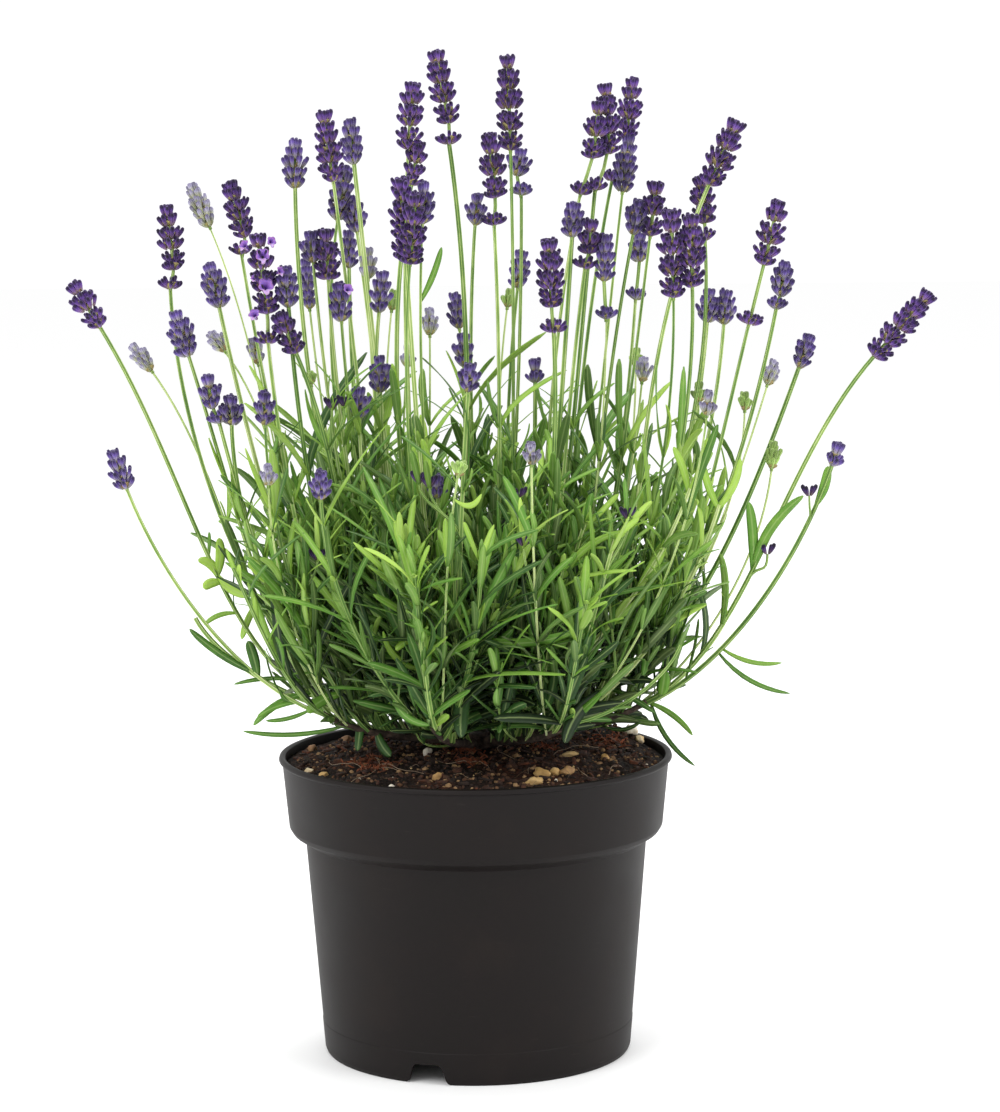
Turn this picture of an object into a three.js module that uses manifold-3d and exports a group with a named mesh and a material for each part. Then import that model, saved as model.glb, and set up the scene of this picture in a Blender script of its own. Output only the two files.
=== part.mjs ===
// A potted lavender: a round bush of flowering lavender in a black nursery pot.
// Millimetres, +Z up. The origin is the centre of the pot's base, on the surface that it
// stands on. -Y is the front and +X is to the right, seen from the front.

import * as THREE from 'three';
import { mergeVertices } from 'three/addons/utils/BufferGeometryUtils.js';
import Module from 'manifold-3d';

const wasm = await Module();
wasm.setup();

// ---- Driving dimensions ------------------------------------------------------------

const SEGMENTS = 28;              // sides of the pot and the soil
const GAP = 0.3;                  // kept between two pieces that touch

const POT_HEIGHT = 145;
const POT_WALL = 1.6;
const RIM_RADIUS = 95;            // outside of the rolled rim
const COLLAR_TOP = 140;           // the collar runs from under the rim ...
const COLLAR_TOP_RADIUS = 93.3;
const COLLAR_FOOT = 110.6;        // ... down to the shoulder
const COLLAR_FOOT_RADIUS = 90.3;
const WALL_TOP = 104.2;           // where the shoulder meets the tapered wall
const WALL_TOP_RADIUS = 82.5;
const BASE_RADIUS = 74.1;         // the wall's taper carried down to the base
const SEAM_HEIGHT = 15.5;         // fine step around the foot, which is wider by the step
const SEAM_STEP = 0.2;
const FLOOR_UNDER = 10;           // the raised ring of the floor, seen from below
const CENTRE_FOOT_RADIUS = 24;    // flat middle of the floor, which stands on the ground
const DRAIN_RADIUS = 5;
const DRAIN_COUNT = 6;
const DRAIN_CIRCLE = 48;
const NOTCH_COUNT = 3;            // openings in the skirt
const NOTCH_AZIMUTH = -108.8;     // degrees from +X; the first one is left of the front
const NOTCH_FOOT_WIDTH = 22;
const NOTCH_TOP_WIDTH = 12.4;
const NOTCH_HEIGHT = 9.6;

const SOIL_EDGE = 138.5;          // soil level at the wall
const SOIL_MOUND = 143.5;         // and in the middle
const SOIL_LUMPS = 1.6;

const TRUNK_RADIUS = 6;
const TRUNK_FOOT = 126;
const TRUNK_TOP = 154;
const LIMB_RADIUS = 2.9;          // low branches of the woody crown
const LIMB_RISE = 12;             // degrees above level
const LIMB_ROOT = 149;            // height where they leave the trunk
const LIMB_END = 14;              // how far out they reach

const BUNCHES = 8;                // each fills its own sector of the bush
const FIRST_SECTOR = 9;           // degrees from +X to the first dividing plane
const SECTOR_MARGIN = 1.5;
const BRANCH_RADIUS = 2.6;        // the leafy branch that each bunch grows from
const BRANCH_REACH = 84;
const BRANCH_TOP = 172;
const STEM_RADIUS = 1.3;          // corner radius of the three-sided stems
const STEM_ROOT = 0.35;           // a stem's root inside its branch, of its radius
const STEM_OFFSET = 1;            // a stem roots this far to the side that it leans to
const STEM_WAY = 0.8;             // room that a flower head leaves around a passing stem
const ARCHING_FROM = 105;         // stems that end further out than this arch outwards
const NODE_HEIGHT = 1.8;          // height of a leaf's foot on its stem

const EYE_DISTANCE = 1600;        // the flower list is read from here
const EYE_HEIGHT = 444;
const DEEPEST = 130;              // heads lean outwards the nearer they are to this depth
const HEAD_LEAN = 0.35;           // and there by this much of their length

const WHORL_PITCH = 7.8;
const CALYX_RISE = 1.25;          // a calyx tip stands this many pitches above its root
const VALLEY_RISE = 0.62;
const VALLEY = 0.56;              // radius between two calyces, of the head's radius
const WAIST = 0.34;               // radius between two whorls, of the head's radius
const RACHIS_RADIUS = 1.3;

const LEAF_KEEL = 1.1;            // depth of a leaf under its flat top
const LEAF_WIDTH = 5;
const SHORTEST_LEAF = 28;
const LONGEST_LEAF = 42;
const LEAF_SPLAY = 0.95;          // how far out a leaf points for its rise along the stem
const LEAF_DROOP = 0.16;          // drop of its tip, of its length
const LEAF_CLEARANCE = 3.2;       // between a leaf's middle line and other growth
const HEAD_CLEARANCE = 4;         // between a leaf's middle line and a flower head
const LEAVES_FROM = 152;          // no leaf hangs lower than this
const STEMS_WANTED = 13;          // a bunch with fewer flowers has more leafy shoots
const FEWEST_SHOOTS = 3;
const MOST_SHOOTS = 8;
const SHOOTS_TURN = 16;           // degrees that shoots stand to each side of the middle
const SHOOTS_FROM = 46;           // distance from the axis of the innermost shoots
const SHOOTS_TO = 146;            // and of the outermost
const BUSH_TOP = 306;             // height of the dense foliage in the middle
const BUSH_FALL = 46;             // and how much lower it is at BUSH_RADIUS
const BUSH_RADIUS = 150;

// Every flower head: its node, its tip and foot as they are seen from the front in the
// plane of the pot's axis (x to the right, z up), how far behind that plane it stands,
// and its radius. 'low' is the foot of a whorl that sits apart, further down the stem.
// Heads with the same node touch each other and are one body. A young head, still
// green, has no node of its own: it belongs to the leafy bunch that carries it.
const HEADS = [
  { node: 'head_far_left', tip: [-189, 372], foot: [-177, 352], depth: -10, radius: 7 },
  { node: 'head_low_left', tip: [-172, 292], foot: [-166, 275], depth: -50, radius: 6.5 },
  { node: 'head_left_outer', tip: [-144, 409], foot: [-141, 379], low: [-143, 370], depth: 20, radius: 7 },
  { node: 'head_left_dark', tip: [-114, 420], foot: [-107, 394], low: [-109, 386], depth: 35, radius: 7 },
  { node: 'head_left_inner', tip: [-124, 381], foot: [-120, 361], depth: 5, radius: 7 },
  { node: 'head_left_mid', tip: [-141, 358], foot: [-135, 338], depth: -25, radius: 7 },
  { node: 'heads_in_bloom', tip: [-101, 394], foot: [-97, 358], low: [-97, 344], depth: -45, radius: 7.5 },
  { node: 'heads_in_bloom', tip: [-88, 379], foot: [-87, 361], depth: -45, radius: 6.5 },
  { node: 'heads_in_bloom', tip: [-92, 358], foot: [-84, 339], depth: -45, radius: 7 },
  { node: 'head_slim_left', tip: [-79, 382], foot: [-77, 360], depth: 70, radius: 5 },
  { node: 'head_upper_left', tip: [-83, 439], foot: [-83, 417], depth: 55, radius: 7 },
  { node: 'head_tall_left', tip: [-69, 452], foot: [-65, 420], depth: -5, radius: 7 },
  { node: 'head_back_left', tip: [-57, 448], foot: [-55, 428], depth: 45, radius: 6.5 },
  { node: 'heads_left_pair', tip: [-59, 426], foot: [-63, 402], depth: 75, radius: 7 },
  { node: 'heads_left_pair', tip: [-56, 411], foot: [-54, 396], depth: 75, radius: 6.5 },
  { node: 'head_rear_left', tip: [-58, 395], foot: [-58, 379], depth: 100, radius: 6 },
  { node: 'heads_inner_left_pair', tip: [-76, 395], foot: [-75, 382], depth: -20, radius: 6.5 },
  { node: 'heads_inner_left_pair', tip: [-69, 396], foot: [-68, 374], depth: -20, radius: 7 },
  { node: 'head_left_short', tip: [-63, 371], foot: [-62, 354], depth: -20, radius: 6.5 },
  { node: 'head_inner_left', tip: [-42, 376], foot: [-44, 358], depth: 25, radius: 6.5 },
  { node: 'heads_tall_pair', tip: [-27, 466], foot: [-29, 435], depth: -10, radius: 7.5 },
  { node: 'heads_tall_pair', tip: [-24, 438], foot: [-28, 418], depth: -10, radius: 7 },
  { node: 'heads_front_trio', tip: [-33, 421], foot: [-31, 383], depth: -70, radius: 7.5 },
  { node: 'heads_front_trio', tip: [-26, 413], foot: [-29, 381], depth: -78, radius: 7 },
  { node: 'heads_front_trio', tip: [-22, 418], foot: [-23, 400], depth: -70, radius: 6.5 },
  { node: 'head_tallest', tip: [-16, 480], foot: [-10, 447], low: [-10, 437], depth: 25, radius: 7.5 },
  { node: 'head_tall_middle', tip: [18, 477], foot: [19, 434], depth: 10, radius: 7.5 },
  { node: 'head_middle_front', tip: [9, 442], foot: [12, 412], low: [11, 399], depth: -35, radius: 7 },
  { node: 'head_middle_short', tip: [24, 433], foot: [22, 422], low: [24, 413], depth: 40, radius: 6.5 },
  { node: 'head_middle_back', tip: [3, 412], foot: [2, 399], depth: 60, radius: 6 },
  { node: 'head_middle_rear', tip: [24, 385], foot: [22, 369], depth: 85, radius: 6.5 },
  { node: 'head_middle_inner', tip: [-8, 365], foot: [-6, 350], depth: 70, radius: 6 },
  { node: 'head_middle_low', tip: [-4, 346], foot: [-4, 332], depth: 30, radius: 6 },
  { node: 'head_front_low', tip: [-1, 332], foot: [-2, 320], depth: -95, radius: 6 },
  { node: 'head_left_low', tip: [-44, 336], foot: [-44, 320], depth: 0, radius: 6.5 },
  { node: 'head_front_left', tip: [-54, 321], foot: [-54, 308], depth: -20, radius: 6.5 },
  { node: 'head_side_left', tip: [-99, 319], foot: [-99, 305], depth: -60, radius: 6 },
  { node: 'heads_side_pair', tip: [-115, 317], foot: [-115, 305], depth: -30, radius: 6.5 },
  { node: 'heads_side_pair', tip: [-126, 327], foot: [-124, 313], low: [-121, 306], depth: -30, radius: 6.5 },
  { node: 'head_low_front', tip: [-73, 281], foot: [-73, 269], depth: -105, radius: 6 },
  { node: 'head_right_low', tip: [30, 334], foot: [30, 324], depth: 20, radius: 6 },
  { node: 'head_dark_front', tip: [-17, 278], foot: [-17, 269], depth: -60, radius: 6 },
  { node: 'head_front_tall', tip: [37, 391], foot: [38, 360], low: [39, 348], depth: -65, radius: 7.5 },
  { node: 'heads_right_trio', tip: [49, 408], foot: [48, 393], depth: -21, radius: 6.5 },
  { node: 'heads_right_trio', tip: [57, 400], foot: [56, 385], low: [54, 378], depth: -20, radius: 7 },
  { node: 'heads_right_trio', tip: [64, 393], foot: [63, 372], low: [64, 354], depth: -22, radius: 5.5 },
  { node: 'heads_crossing_pair', tip: [61, 455], foot: [58, 430], low: [52, 413], depth: 15, radius: 7 },
  { node: 'heads_crossing_pair', tip: [64, 464], foot: [66, 432], low: [59, 415], depth: 20, radius: 7 },
  { node: 'heads_upper_pair', tip: [77, 467], foot: [74, 439], low: [67, 419], depth: 50, radius: 7 },
  { node: 'heads_upper_pair', tip: [75, 439], foot: [72, 414], depth: 45, radius: 6.5 },
  { node: 'heads_inner_pair', tip: [80, 409], foot: [77, 394], depth: 5, radius: 6.5 },
  { node: 'heads_inner_pair', tip: [88, 417], foot: [85, 393], depth: 5, radius: 7 },
  { node: 'head_right_rear', tip: [80, 393], foot: [80, 381], low: [78, 363], depth: 75, radius: 6.5 },
  { node: 'heads_right_pair', tip: [95, 405], foot: [96, 364], depth: -50, radius: 7.5 },
  { node: 'heads_right_pair', tip: [104, 402], foot: [105, 369], depth: -50, radius: 7.5 },
  { node: 'head_leaning_right', tip: [126, 446], foot: [113, 417], depth: -20, radius: 7.5 },
  { node: 'head_right_back', tip: [109, 420], foot: [111, 399], low: [111, 391], depth: 50, radius: 7 },
  { node: 'head_right_outer', tip: [146, 409], foot: [139, 379], low: [132, 351], depth: -20, radius: 7.5 },
  { node: 'head_right_mid', tip: [149, 379], foot: [147, 364], low: [145, 358], depth: 30, radius: 6.5 },
  { node: 'heads_back_pair', tip: [113, 366], foot: [112, 352], depth: 75, radius: 6.5 },
  { node: 'heads_back_pair', tip: [121, 366], foot: [120, 351], depth: 75, radius: 6.5 },
  { node: 'head_right_side', tip: [161, 344], foot: [156, 330], depth: 40, radius: 6 },
  { node: 'head_far_right', tip: [218, 364], foot: [192, 335], depth: -10, radius: 7.5 },
  { node: 'head_low_right', tip: [175, 292], foot: [172, 283], depth: -40, radius: 6 },
  { tip: [-161, 342], foot: [-153, 331], depth: 45, radius: 5 },
  { tip: [-132, 418], foot: [-124, 399], depth: 70, radius: 5.5 },
  { tip: [-124, 348], foot: [-118, 340], depth: 90, radius: 5 },
  { tip: [-104, 345], foot: [-102, 334], depth: 60, radius: 5 },
  { tip: [-49, 387], foot: [-49, 374], depth: 65, radius: 5 },
  { tip: [-37, 367], foot: [-38, 359], depth: 110, radius: 4.5 },
  { tip: [18, 367], foot: [17, 360], depth: 105, radius: 4 },
  { tip: [-20, 358], foot: [-20, 347], depth: 95, radius: 5 },
  { tip: [-30, 341], foot: [-31, 332], depth: 45, radius: 5 },
  { tip: [-98, 284], foot: [-98, 276], depth: -90, radius: 5 },
  { tip: [-78, 329], foot: [-77, 324], depth: 40, radius: 4.5 },
  { tip: [-6, 285], foot: [-7, 280], depth: -125, radius: 4 },
  { tip: [28, 294], foot: [28, 285], depth: -115, radius: 5 },
  { tip: [144, 332], foot: [141, 322], depth: 75, radius: 5 },
  { tip: [113, 318], foot: [112, 308], depth: -80, radius: 5 },
  { tip: [78, 338], foot: [78, 331], depth: 80, radius: 4.5 },
  { tip: [82, 334], foot: [81, 324], depth: 40, radius: 5 },
  { tip: [108, 322], foot: [108, 314], depth: 60, radius: 4.5 },
  { tip: [130, 317], foot: [130, 310], depth: 40, radius: 4.5 },
  { tip: [144, 293], foot: [143, 282], depth: 10, radius: 4.5 },
];

// ---- Colours and finishes ----------------------------------------------------------

const potPlastic = { color: 0x33302f, roughness: 0.6, metalness: 0 };
const darkSoil = { color: 0x2a1e17, roughness: 1, metalness: 0 };
const wood = { color: 0x5a4634, roughness: 0.9, metalness: 0 };
const leafGreen = { color: 0x6f9148, roughness: 0.7, metalness: 0 };
const lavender = { color: 0x46337a, roughness: 0.85, metalness: 0 };

// ---- Small helpers -----------------------------------------------------------------

const radians = THREE.MathUtils.degToRad;
const UP = new THREE.Vector3(0, 0, 1);

// A repeatable draw between 0 and 1.
function draw(a, b) {
  const value = Math.sin(a * 127.1 + b * 311.7) * 43758.5453;
  return value - Math.floor(value);
}

function between(low, high, share) {
  return low + (high - low) * share;
}

// A point given by its azimuth in radians, its distance from the axis and its height.
function around(azimuth, radius, z) {
  return new THREE.Vector3(Math.cos(azimuth) * radius, Math.sin(azimuth) * radius, z);
}

function solidFrom(geometry) {
  const bare = new THREE.BufferGeometry();
  bare.setAttribute('position', geometry.getAttribute('position'));
  bare.setIndex(geometry.getIndex());
  const merged = mergeVertices(bare, 1e-4);
  const vertProperties = new Float32Array(merged.getAttribute('position').array);
  const triVerts = new Uint32Array(merged.getIndex().array);
  return new wasm.Manifold(new wasm.Mesh({ numProp: 3, vertProperties, triVerts }));
}

function geometryFrom(solid) {
  const mesh = solid.getMesh();
  const geometry = new THREE.BufferGeometry();
  geometry.setAttribute('position', new THREE.BufferAttribute(new Float32Array(mesh.vertProperties), 3));
  geometry.setIndex(new THREE.BufferAttribute(new Uint32Array(mesh.triVerts), 1));
  geometry.computeVertexNormals();
  return geometry;
}

function solidFromPoints(points, faces) {
  const geometry = new THREE.BufferGeometry().setFromPoints(points);
  geometry.setIndex(faces.flat());
  return solidFrom(geometry);
}

// One body: scraps that a cut leaves loose are dropped.
function largestPiece(solid) {
  const pieces = solid.decompose();
  return pieces.reduce((best, piece) => (piece.volume() > best.volume() ? piece : best));
}

function lathe(profile) {
  const points = profile.map(([radius, z]) => new THREE.Vector2(radius, z));
  const geometry = new THREE.LatheGeometry(points, SEGMENTS);
  return geometry.rotateX(Math.PI / 2);
}

function cylinder(radius, low, high, sides) {
  const geometry = new THREE.CylinderGeometry(radius, radius, high - low, sides);
  return geometry.rotateX(Math.PI / 2).translate(0, 0, (low + high) / 2);
}

// A rod with a few flat sides along a curve.
function rod(curve, radius, sides, steps) {
  const corners = [];
  for (let i = 0; i < sides; i++) {
    const angle = (i / sides) * 2 * Math.PI;
    corners.push(new THREE.Vector2(Math.cos(angle) * radius, Math.sin(angle) * radius));
  }
  const options = { extrudePath: curve, steps, bevelEnabled: false };
  return solidFrom(new THREE.ExtrudeGeometry(new THREE.Shape(corners), options));
}

function piece(name, geometry, finish) {
  const mesh = new THREE.Mesh(geometry, new THREE.MeshStandardMaterial(finish));
  mesh.name = name;
  return mesh;
}

// ---- The pot -----------------------------------------------------------------------

function wallRadius(z) {
  return between(BASE_RADIUS, WALL_TOP_RADIUS, z / WALL_TOP);
}

function potProfile() {
  const floorTop = FLOOR_UNDER + POT_WALL;
  const skirt = BASE_RADIUS - 0.5;
  const inside = (radius) => radius - POT_WALL;
  return [
    [0, 0],
    [CENTRE_FOOT_RADIUS, 0],
    [CENTRE_FOOT_RADIUS + 3.5, FLOOR_UNDER],
    [inside(wallRadius(FLOOR_UNDER)), FLOOR_UNDER],
    [inside(skirt) - 0.4, 0],
    [skirt, 0],
    [wallRadius(2) + SEAM_STEP, 2],
    [wallRadius(SEAM_HEIGHT) + SEAM_STEP, SEAM_HEIGHT - SEAM_STEP],
    [wallRadius(SEAM_HEIGHT), SEAM_HEIGHT],
    [WALL_TOP_RADIUS, WALL_TOP],
    [COLLAR_FOOT_RADIUS - 1.6, COLLAR_FOOT - 2.6],
    [COLLAR_FOOT_RADIUS, COLLAR_FOOT],
    [COLLAR_TOP_RADIUS, COLLAR_TOP],
    [RIM_RADIUS - 0.5, COLLAR_TOP + 0.9],
    [RIM_RADIUS, COLLAR_TOP + 2.4],
    [RIM_RADIUS - 0.6, POT_HEIGHT - 0.6],
    [RIM_RADIUS - 1.8, POT_HEIGHT],
    [RIM_RADIUS - 3.2, POT_HEIGHT - 0.5],
    [inside(COLLAR_TOP_RADIUS), COLLAR_TOP],
    [inside(COLLAR_FOOT_RADIUS), COLLAR_FOOT + 0.6],
    [inside(WALL_TOP_RADIUS), WALL_TOP + 0.8],
    [inside(wallRadius(floorTop + 2)), floorTop + 2],
    [inside(wallRadius(floorTop)) - 2, floorTop],
    [CENTRE_FOOT_RADIUS + 2, floorTop],
    [CENTRE_FOOT_RADIUS - 1.5, POT_WALL],
    [0, POT_WALL],
  ];
}

function drainHoles() {
  const holes = [];
  for (let i = 0; i < DRAIN_COUNT; i++) {
    const place = around((i / DRAIN_COUNT) * 2 * Math.PI, DRAIN_CIRCLE, 0);
    const hole = cylinder(DRAIN_RADIUS, FLOOR_UNDER - 2, FLOOR_UNDER + POT_WALL + 2, 10);
    holes.push(solidFrom(hole.translate(place.x, place.y, 0)));
  }
  return holes;
}

// A wedge-shaped opening through the skirt, wide at the ground and narrow at its top.
function skirtNotches() {
  const foot = NOTCH_FOOT_WIDTH / 2;
  const top = NOTCH_TOP_WIDTH / 2;
  const outline = new THREE.Shape([
    new THREE.Vector2(-foot - 1, -1),
    new THREE.Vector2(foot + 1, -1),
    new THREE.Vector2(top + 0.9, NOTCH_HEIGHT - 1.4),
    new THREE.Vector2(top - 0.7, NOTCH_HEIGHT),
    new THREE.Vector2(-top + 0.7, NOTCH_HEIGHT),
    new THREE.Vector2(-top - 0.9, NOTCH_HEIGHT - 1.4),
  ]);
  const notches = [];
  for (let i = 0; i < NOTCH_COUNT; i++) {
    const azimuth = radians(NOTCH_AZIMUTH + (i * 360) / NOTCH_COUNT);
    const block = new THREE.ExtrudeGeometry(outline, { depth: 20, bevelEnabled: false });
    block.rotateX(Math.PI / 2).rotateZ(Math.PI / 2).translate(BASE_RADIUS - 10, 0, 0);
    notches.push(solidFrom(block.rotateZ(azimuth)));
  }
  return notches;
}

function makePot() {
  const cuts = wasm.Manifold.union([...drainHoles(), ...skirtNotches()]);
  const body = solidFrom(lathe(potProfile())).subtract(cuts);
  return piece('pot', geometryFrom(body), potPlastic);
}

// ---- The soil ----------------------------------------------------------------------

function soilProfile() {
  const floor = FLOOR_UNDER + POT_WALL + GAP;
  const inside = (radius) => radius - POT_WALL - GAP - 0.1;
  const middle = SOIL_MOUND - SOIL_EDGE;
  return [
    [0, POT_WALL + GAP],
    [CENTRE_FOOT_RADIUS - 2, POT_WALL + GAP],
    [CENTRE_FOOT_RADIUS + 1.5, floor],
    [inside(wallRadius(floor)) - 2.2, floor],
    [inside(wallRadius(floor + 2.4)), floor + 2.4],
    [inside(WALL_TOP_RADIUS), WALL_TOP + 1.2],
    [inside(COLLAR_FOOT_RADIUS), COLLAR_FOOT + 1],
    [inside(COLLAR_TOP_RADIUS) - 0.2, SOIL_EDGE],
    [74, SOIL_EDGE + middle * 0.3],
    [50, SOIL_EDGE + middle * 0.65],
    [26, SOIL_EDGE + middle * 0.9],
    [0, SOIL_MOUND],
  ];
}

// The surface is lumpy, apart from its edge at the wall and the ring around the trunk.
function roughen(geometry) {
  const position = geometry.getAttribute('position');
  for (let i = 0; i < position.count; i++) {
    const [x, y, z] = [position.getX(i), position.getY(i), position.getZ(i)];
    const radius = Math.hypot(x, y);
    if (z > SOIL_EDGE + 0.5 && radius > 20) {
      const lump = Math.sin(x * 0.21 + 1.3) * Math.cos(y * 0.17) + Math.sin(x * 0.09 - y * 0.13);
      position.setZ(i, z + lump * SOIL_LUMPS * 0.5);
    }
  }
  return geometry;
}

function makeSoil() {
  const heap = solidFrom(roughen(lathe(soilProfile())));
  const hole = solidFrom(cylinder(TRUNK_RADIUS + GAP, TRUNK_FOOT - GAP, POT_HEIGHT + 20, 8));
  return piece('soil', geometryFrom(heap.subtract(hole)), darkSoil);
}

// ---- The woody crown ---------------------------------------------------------------

function bunchAzimuth(bunch) {
  return radians(FIRST_SECTOR + ((bunch + 0.5) * 360) / BUNCHES);
}

function limbPoint(bunch, reach) {
  return around(bunchAzimuth(bunch), reach, LIMB_ROOT + reach * Math.tan(radians(LIMB_RISE)));
}

function makeCrown() {
  const parts = [solidFrom(cylinder(TRUNK_RADIUS, TRUNK_FOOT, TRUNK_TOP, 8))];
  for (let bunch = 0; bunch < BUNCHES; bunch++) {
    const line = new THREE.LineCurve3(limbPoint(bunch, 0), limbPoint(bunch, LIMB_END));
    parts.push(rod(line, LIMB_RADIUS, 5, 1));
  }
  return piece('woody_crown', geometryFrom(wasm.Manifold.union(parts).simplify(0.02)), wood);
}

// ---- Sectors of the bush -----------------------------------------------------------

function bunchOf(point) {
  const turn = Math.atan2(point.y, point.x) - radians(FIRST_SECTOR);
  const share = (turn / (2 * Math.PI) + 1) % 1;
  return Math.floor(share * BUNCHES);
}

// How far a point lies inside its bunch's two dividing planes; negative outside them.
function roomInSector(point, bunch) {
  const half = Math.PI / BUNCHES;
  const azimuth = bunchAzimuth(bunch);
  const along = (angle) => point.x * Math.sin(angle) - point.y * Math.cos(angle);
  return Math.min(-along(azimuth - half), along(azimuth + half));
}

function branchPath(bunch) {
  const azimuth = bunchAzimuth(bunch);
  const start = limbPoint(bunch, LIMB_END + GAP);
  return new THREE.CubicBezierCurve3(
    start,
    limbPoint(bunch, LIMB_END + 16),
    around(azimuth, BRANCH_REACH - 20, BRANCH_TOP - 14),
    around(azimuth, BRANCH_REACH, BRANCH_TOP),
  );
}

// ---- Flower heads ------------------------------------------------------------------

// A place seen at (x, z) in the plane of the axis, moved along its line of sight.
function atDepth([x, z], depth) {
  const grow = 1 + depth / EYE_DISTANCE;
  return new THREE.Vector3(x * grow, depth, EYE_HEIGHT + (z - EYE_HEIGHT) * grow);
}

function placeHead(head) {
  const length = Math.hypot(head.tip[0] - head.foot[0], head.tip[1] - head.foot[1]);
  const lean = (length * HEAD_LEAN * head.depth) / DEEPEST;
  const foot = atDepth(head.foot, head.depth);
  const tip = atDepth(head.tip, head.depth + lean);
  const root = head.low ? atDepth(head.low, head.depth - lean * 0.3) : foot;
  const direction = tip.clone().sub(root).normalize();
  return { ...head, foot, tip, root, direction, bunch: bunchOf(root) };
}

// Rings of points around an axis. A waist has one point for each calyx; a star has a
// calyx tip and a valley in turn. Each whorl is turned half a calyx from the last.
function headRings(head) {
  const calyces = head.radius > 7 ? 5 : 4;
  const side = new THREE.Vector3().crossVectors(head.direction, new THREE.Vector3(0, 1, 0)).normalize();
  const other = new THREE.Vector3().crossVectors(head.direction, side);
  const point = (centre, rise, radius, halfStep) => {
    const angle = (halfStep * Math.PI) / calyces;
    return centre.clone()
      .addScaledVector(head.direction, rise)
      .addScaledVector(side, Math.cos(angle) * radius)
      .addScaledVector(other, Math.sin(angle) * radius);
  };
  const waist = (centre, radius, turn) => {
    const points = [];
    for (let i = 0; i < calyces; i++) points.push(point(centre, 0, radius, 2 * i + turn));
    return points;
  };
  const star = (centre, pitch, radius, turn) => {
    const points = [];
    for (let i = 0; i < calyces; i++) {
      points.push(point(centre, pitch * CALYX_RISE, radius, 2 * i + turn));
      points.push(point(centre, pitch * VALLEY_RISE, radius * VALLEY, 2 * i + turn + 1));
    }
    return points;
  };
  const rings = [waist(head.root, RACHIS_RADIUS, 0)];
  let turn = 0;
  if (head.low) {
    rings.push(star(head.root, WHORL_PITCH * 0.7, head.radius * 0.85, turn));
    turn = 1;
    const above = head.root.clone().addScaledVector(head.direction, WHORL_PITCH * 0.75);
    rings.push(waist(above, RACHIS_RADIUS, turn), waist(head.foot, RACHIS_RADIUS, turn));
  }
  const length = head.foot.distanceTo(head.tip);
  const axis = head.tip.clone().sub(head.foot).normalize();
  const whorls = Math.max(1, Math.round(length / WHORL_PITCH - 0.25));
  const pitch = length / (whorls - 1 + CALYX_RISE);
  for (let i = 0; i < whorls; i++) {
    const centre = head.foot.clone().addScaledVector(axis, i * pitch);
    const swell = i === whorls - 1 && whorls > 2 ? 0.8 : 1 - 0.1 * Math.abs(1 - (2 * i) / whorls);
    if (i > 0) rings.push(waist(centre, head.radius * WAIST, turn));
    rings.push(star(centre, pitch, head.radius * swell, turn));
    turn = 1 - turn;
  }
  const apex = head.tip.clone().addScaledVector(axis, -0.25 * pitch);
  return { rings, apex, calyces };
}

function headSolid(head) {
  const { rings, apex, calyces } = headRings(head);
  const starts = [];
  let count = 0;
  for (const ring of rings) {
    starts.push(count);
    count += ring.length;
  }
  const faces = [];
  for (let i = 1; i < calyces - 1; i++) faces.push([0, i + 1, i]);
  for (let k = 0; k + 1 < rings.length; k++) {
    const [low, high] = [starts[k], starts[k + 1]];
    const opens = rings[k + 1].length > rings[k].length;
    const closes = rings[k + 1].length < rings[k].length;
    for (let i = 0; i < calyces; i++) {
      const next = (i + 1) % calyces;
      const before = (i + calyces - 1) % calyces;
      if (opens) {
        faces.push([low + i, low + next, high + 2 * i + 1]);
        faces.push([low + i, high + 2 * i + 1, high + 2 * i]);
        faces.push([low + next, high + 2 * next, high + 2 * i + 1]);
      } else if (closes) {
        faces.push([low + 2 * i, low + 2 * i + 1, high + i]);
        faces.push([low + 2 * i + 1, low + 2 * next, high + i]);
        faces.push([low + 2 * i, high + i, high + before]);
      } else {
        faces.push([low + i, low + next, high + i]);
        faces.push([low + next, high + next, high + i]);
      }
    }
  }
  const last = starts[rings.length - 1];
  for (let i = 0; i < calyces * 2; i++) {
    faces.push([last + i, last + ((i + 1) % (calyces * 2)), count]);
  }
  return solidFromPoints([...rings.flat(), apex], faces);
}

// ---- Stems -------------------------------------------------------------------------

// A stem leaves its bunch's branch low and outwards, and ends along 'direction'.
function stemPath(start, end, direction) {
  const level = new THREE.Vector3(end.x - start.x, end.y - start.y, 0);
  const rise = end.z - start.z;
  const bend = start.clone().addScaledVector(level, 0.45).addScaledVector(UP, rise * 0.14);
  const arrive = end.clone().addScaledVector(direction, -0.42 * rise);
  return new THREE.CubicBezierCurve3(start, bend, arrive, end);
}

function bushHeight(radius) {
  return BUSH_TOP - BUSH_FALL * (radius / BUSH_RADIUS) ** 2;
}

// Shoots without a flower spread over their sector, the inner ones upright and the outer
// ones leaning out.
function leafyShoots(bunch, count) {
  const shoots = [];
  for (let i = 0; i < count; i++) {
    const seed = bunch * 10 + i;
    const turn = radians(between(-SHOOTS_TURN, SHOOTS_TURN, (0.5 + i * 0.618) % 1));
    const radius = between(SHOOTS_FROM, SHOOTS_TO, (i + draw(seed, 5)) / count);
    const height = bushHeight(radius) * between(0.76, 0.96, draw(seed, 7));
    const end = around(bunchAzimuth(bunch) + turn, radius, height);
    const direction = new THREE.Vector3(end.x, end.y, 2 * radius).normalize();
    shoots.push({ end, direction, head: null });
  }
  return shoots;
}

// Points along a stem, close enough to keep leaves clear of it.
function withSamples(stem) {
  const samples = Array.from({ length: 50 }, (_, k) => stem.path.getPointAt((k + 0.5) / 50));
  return { ...stem, samples, length: stem.path.getLength() };
}

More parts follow.
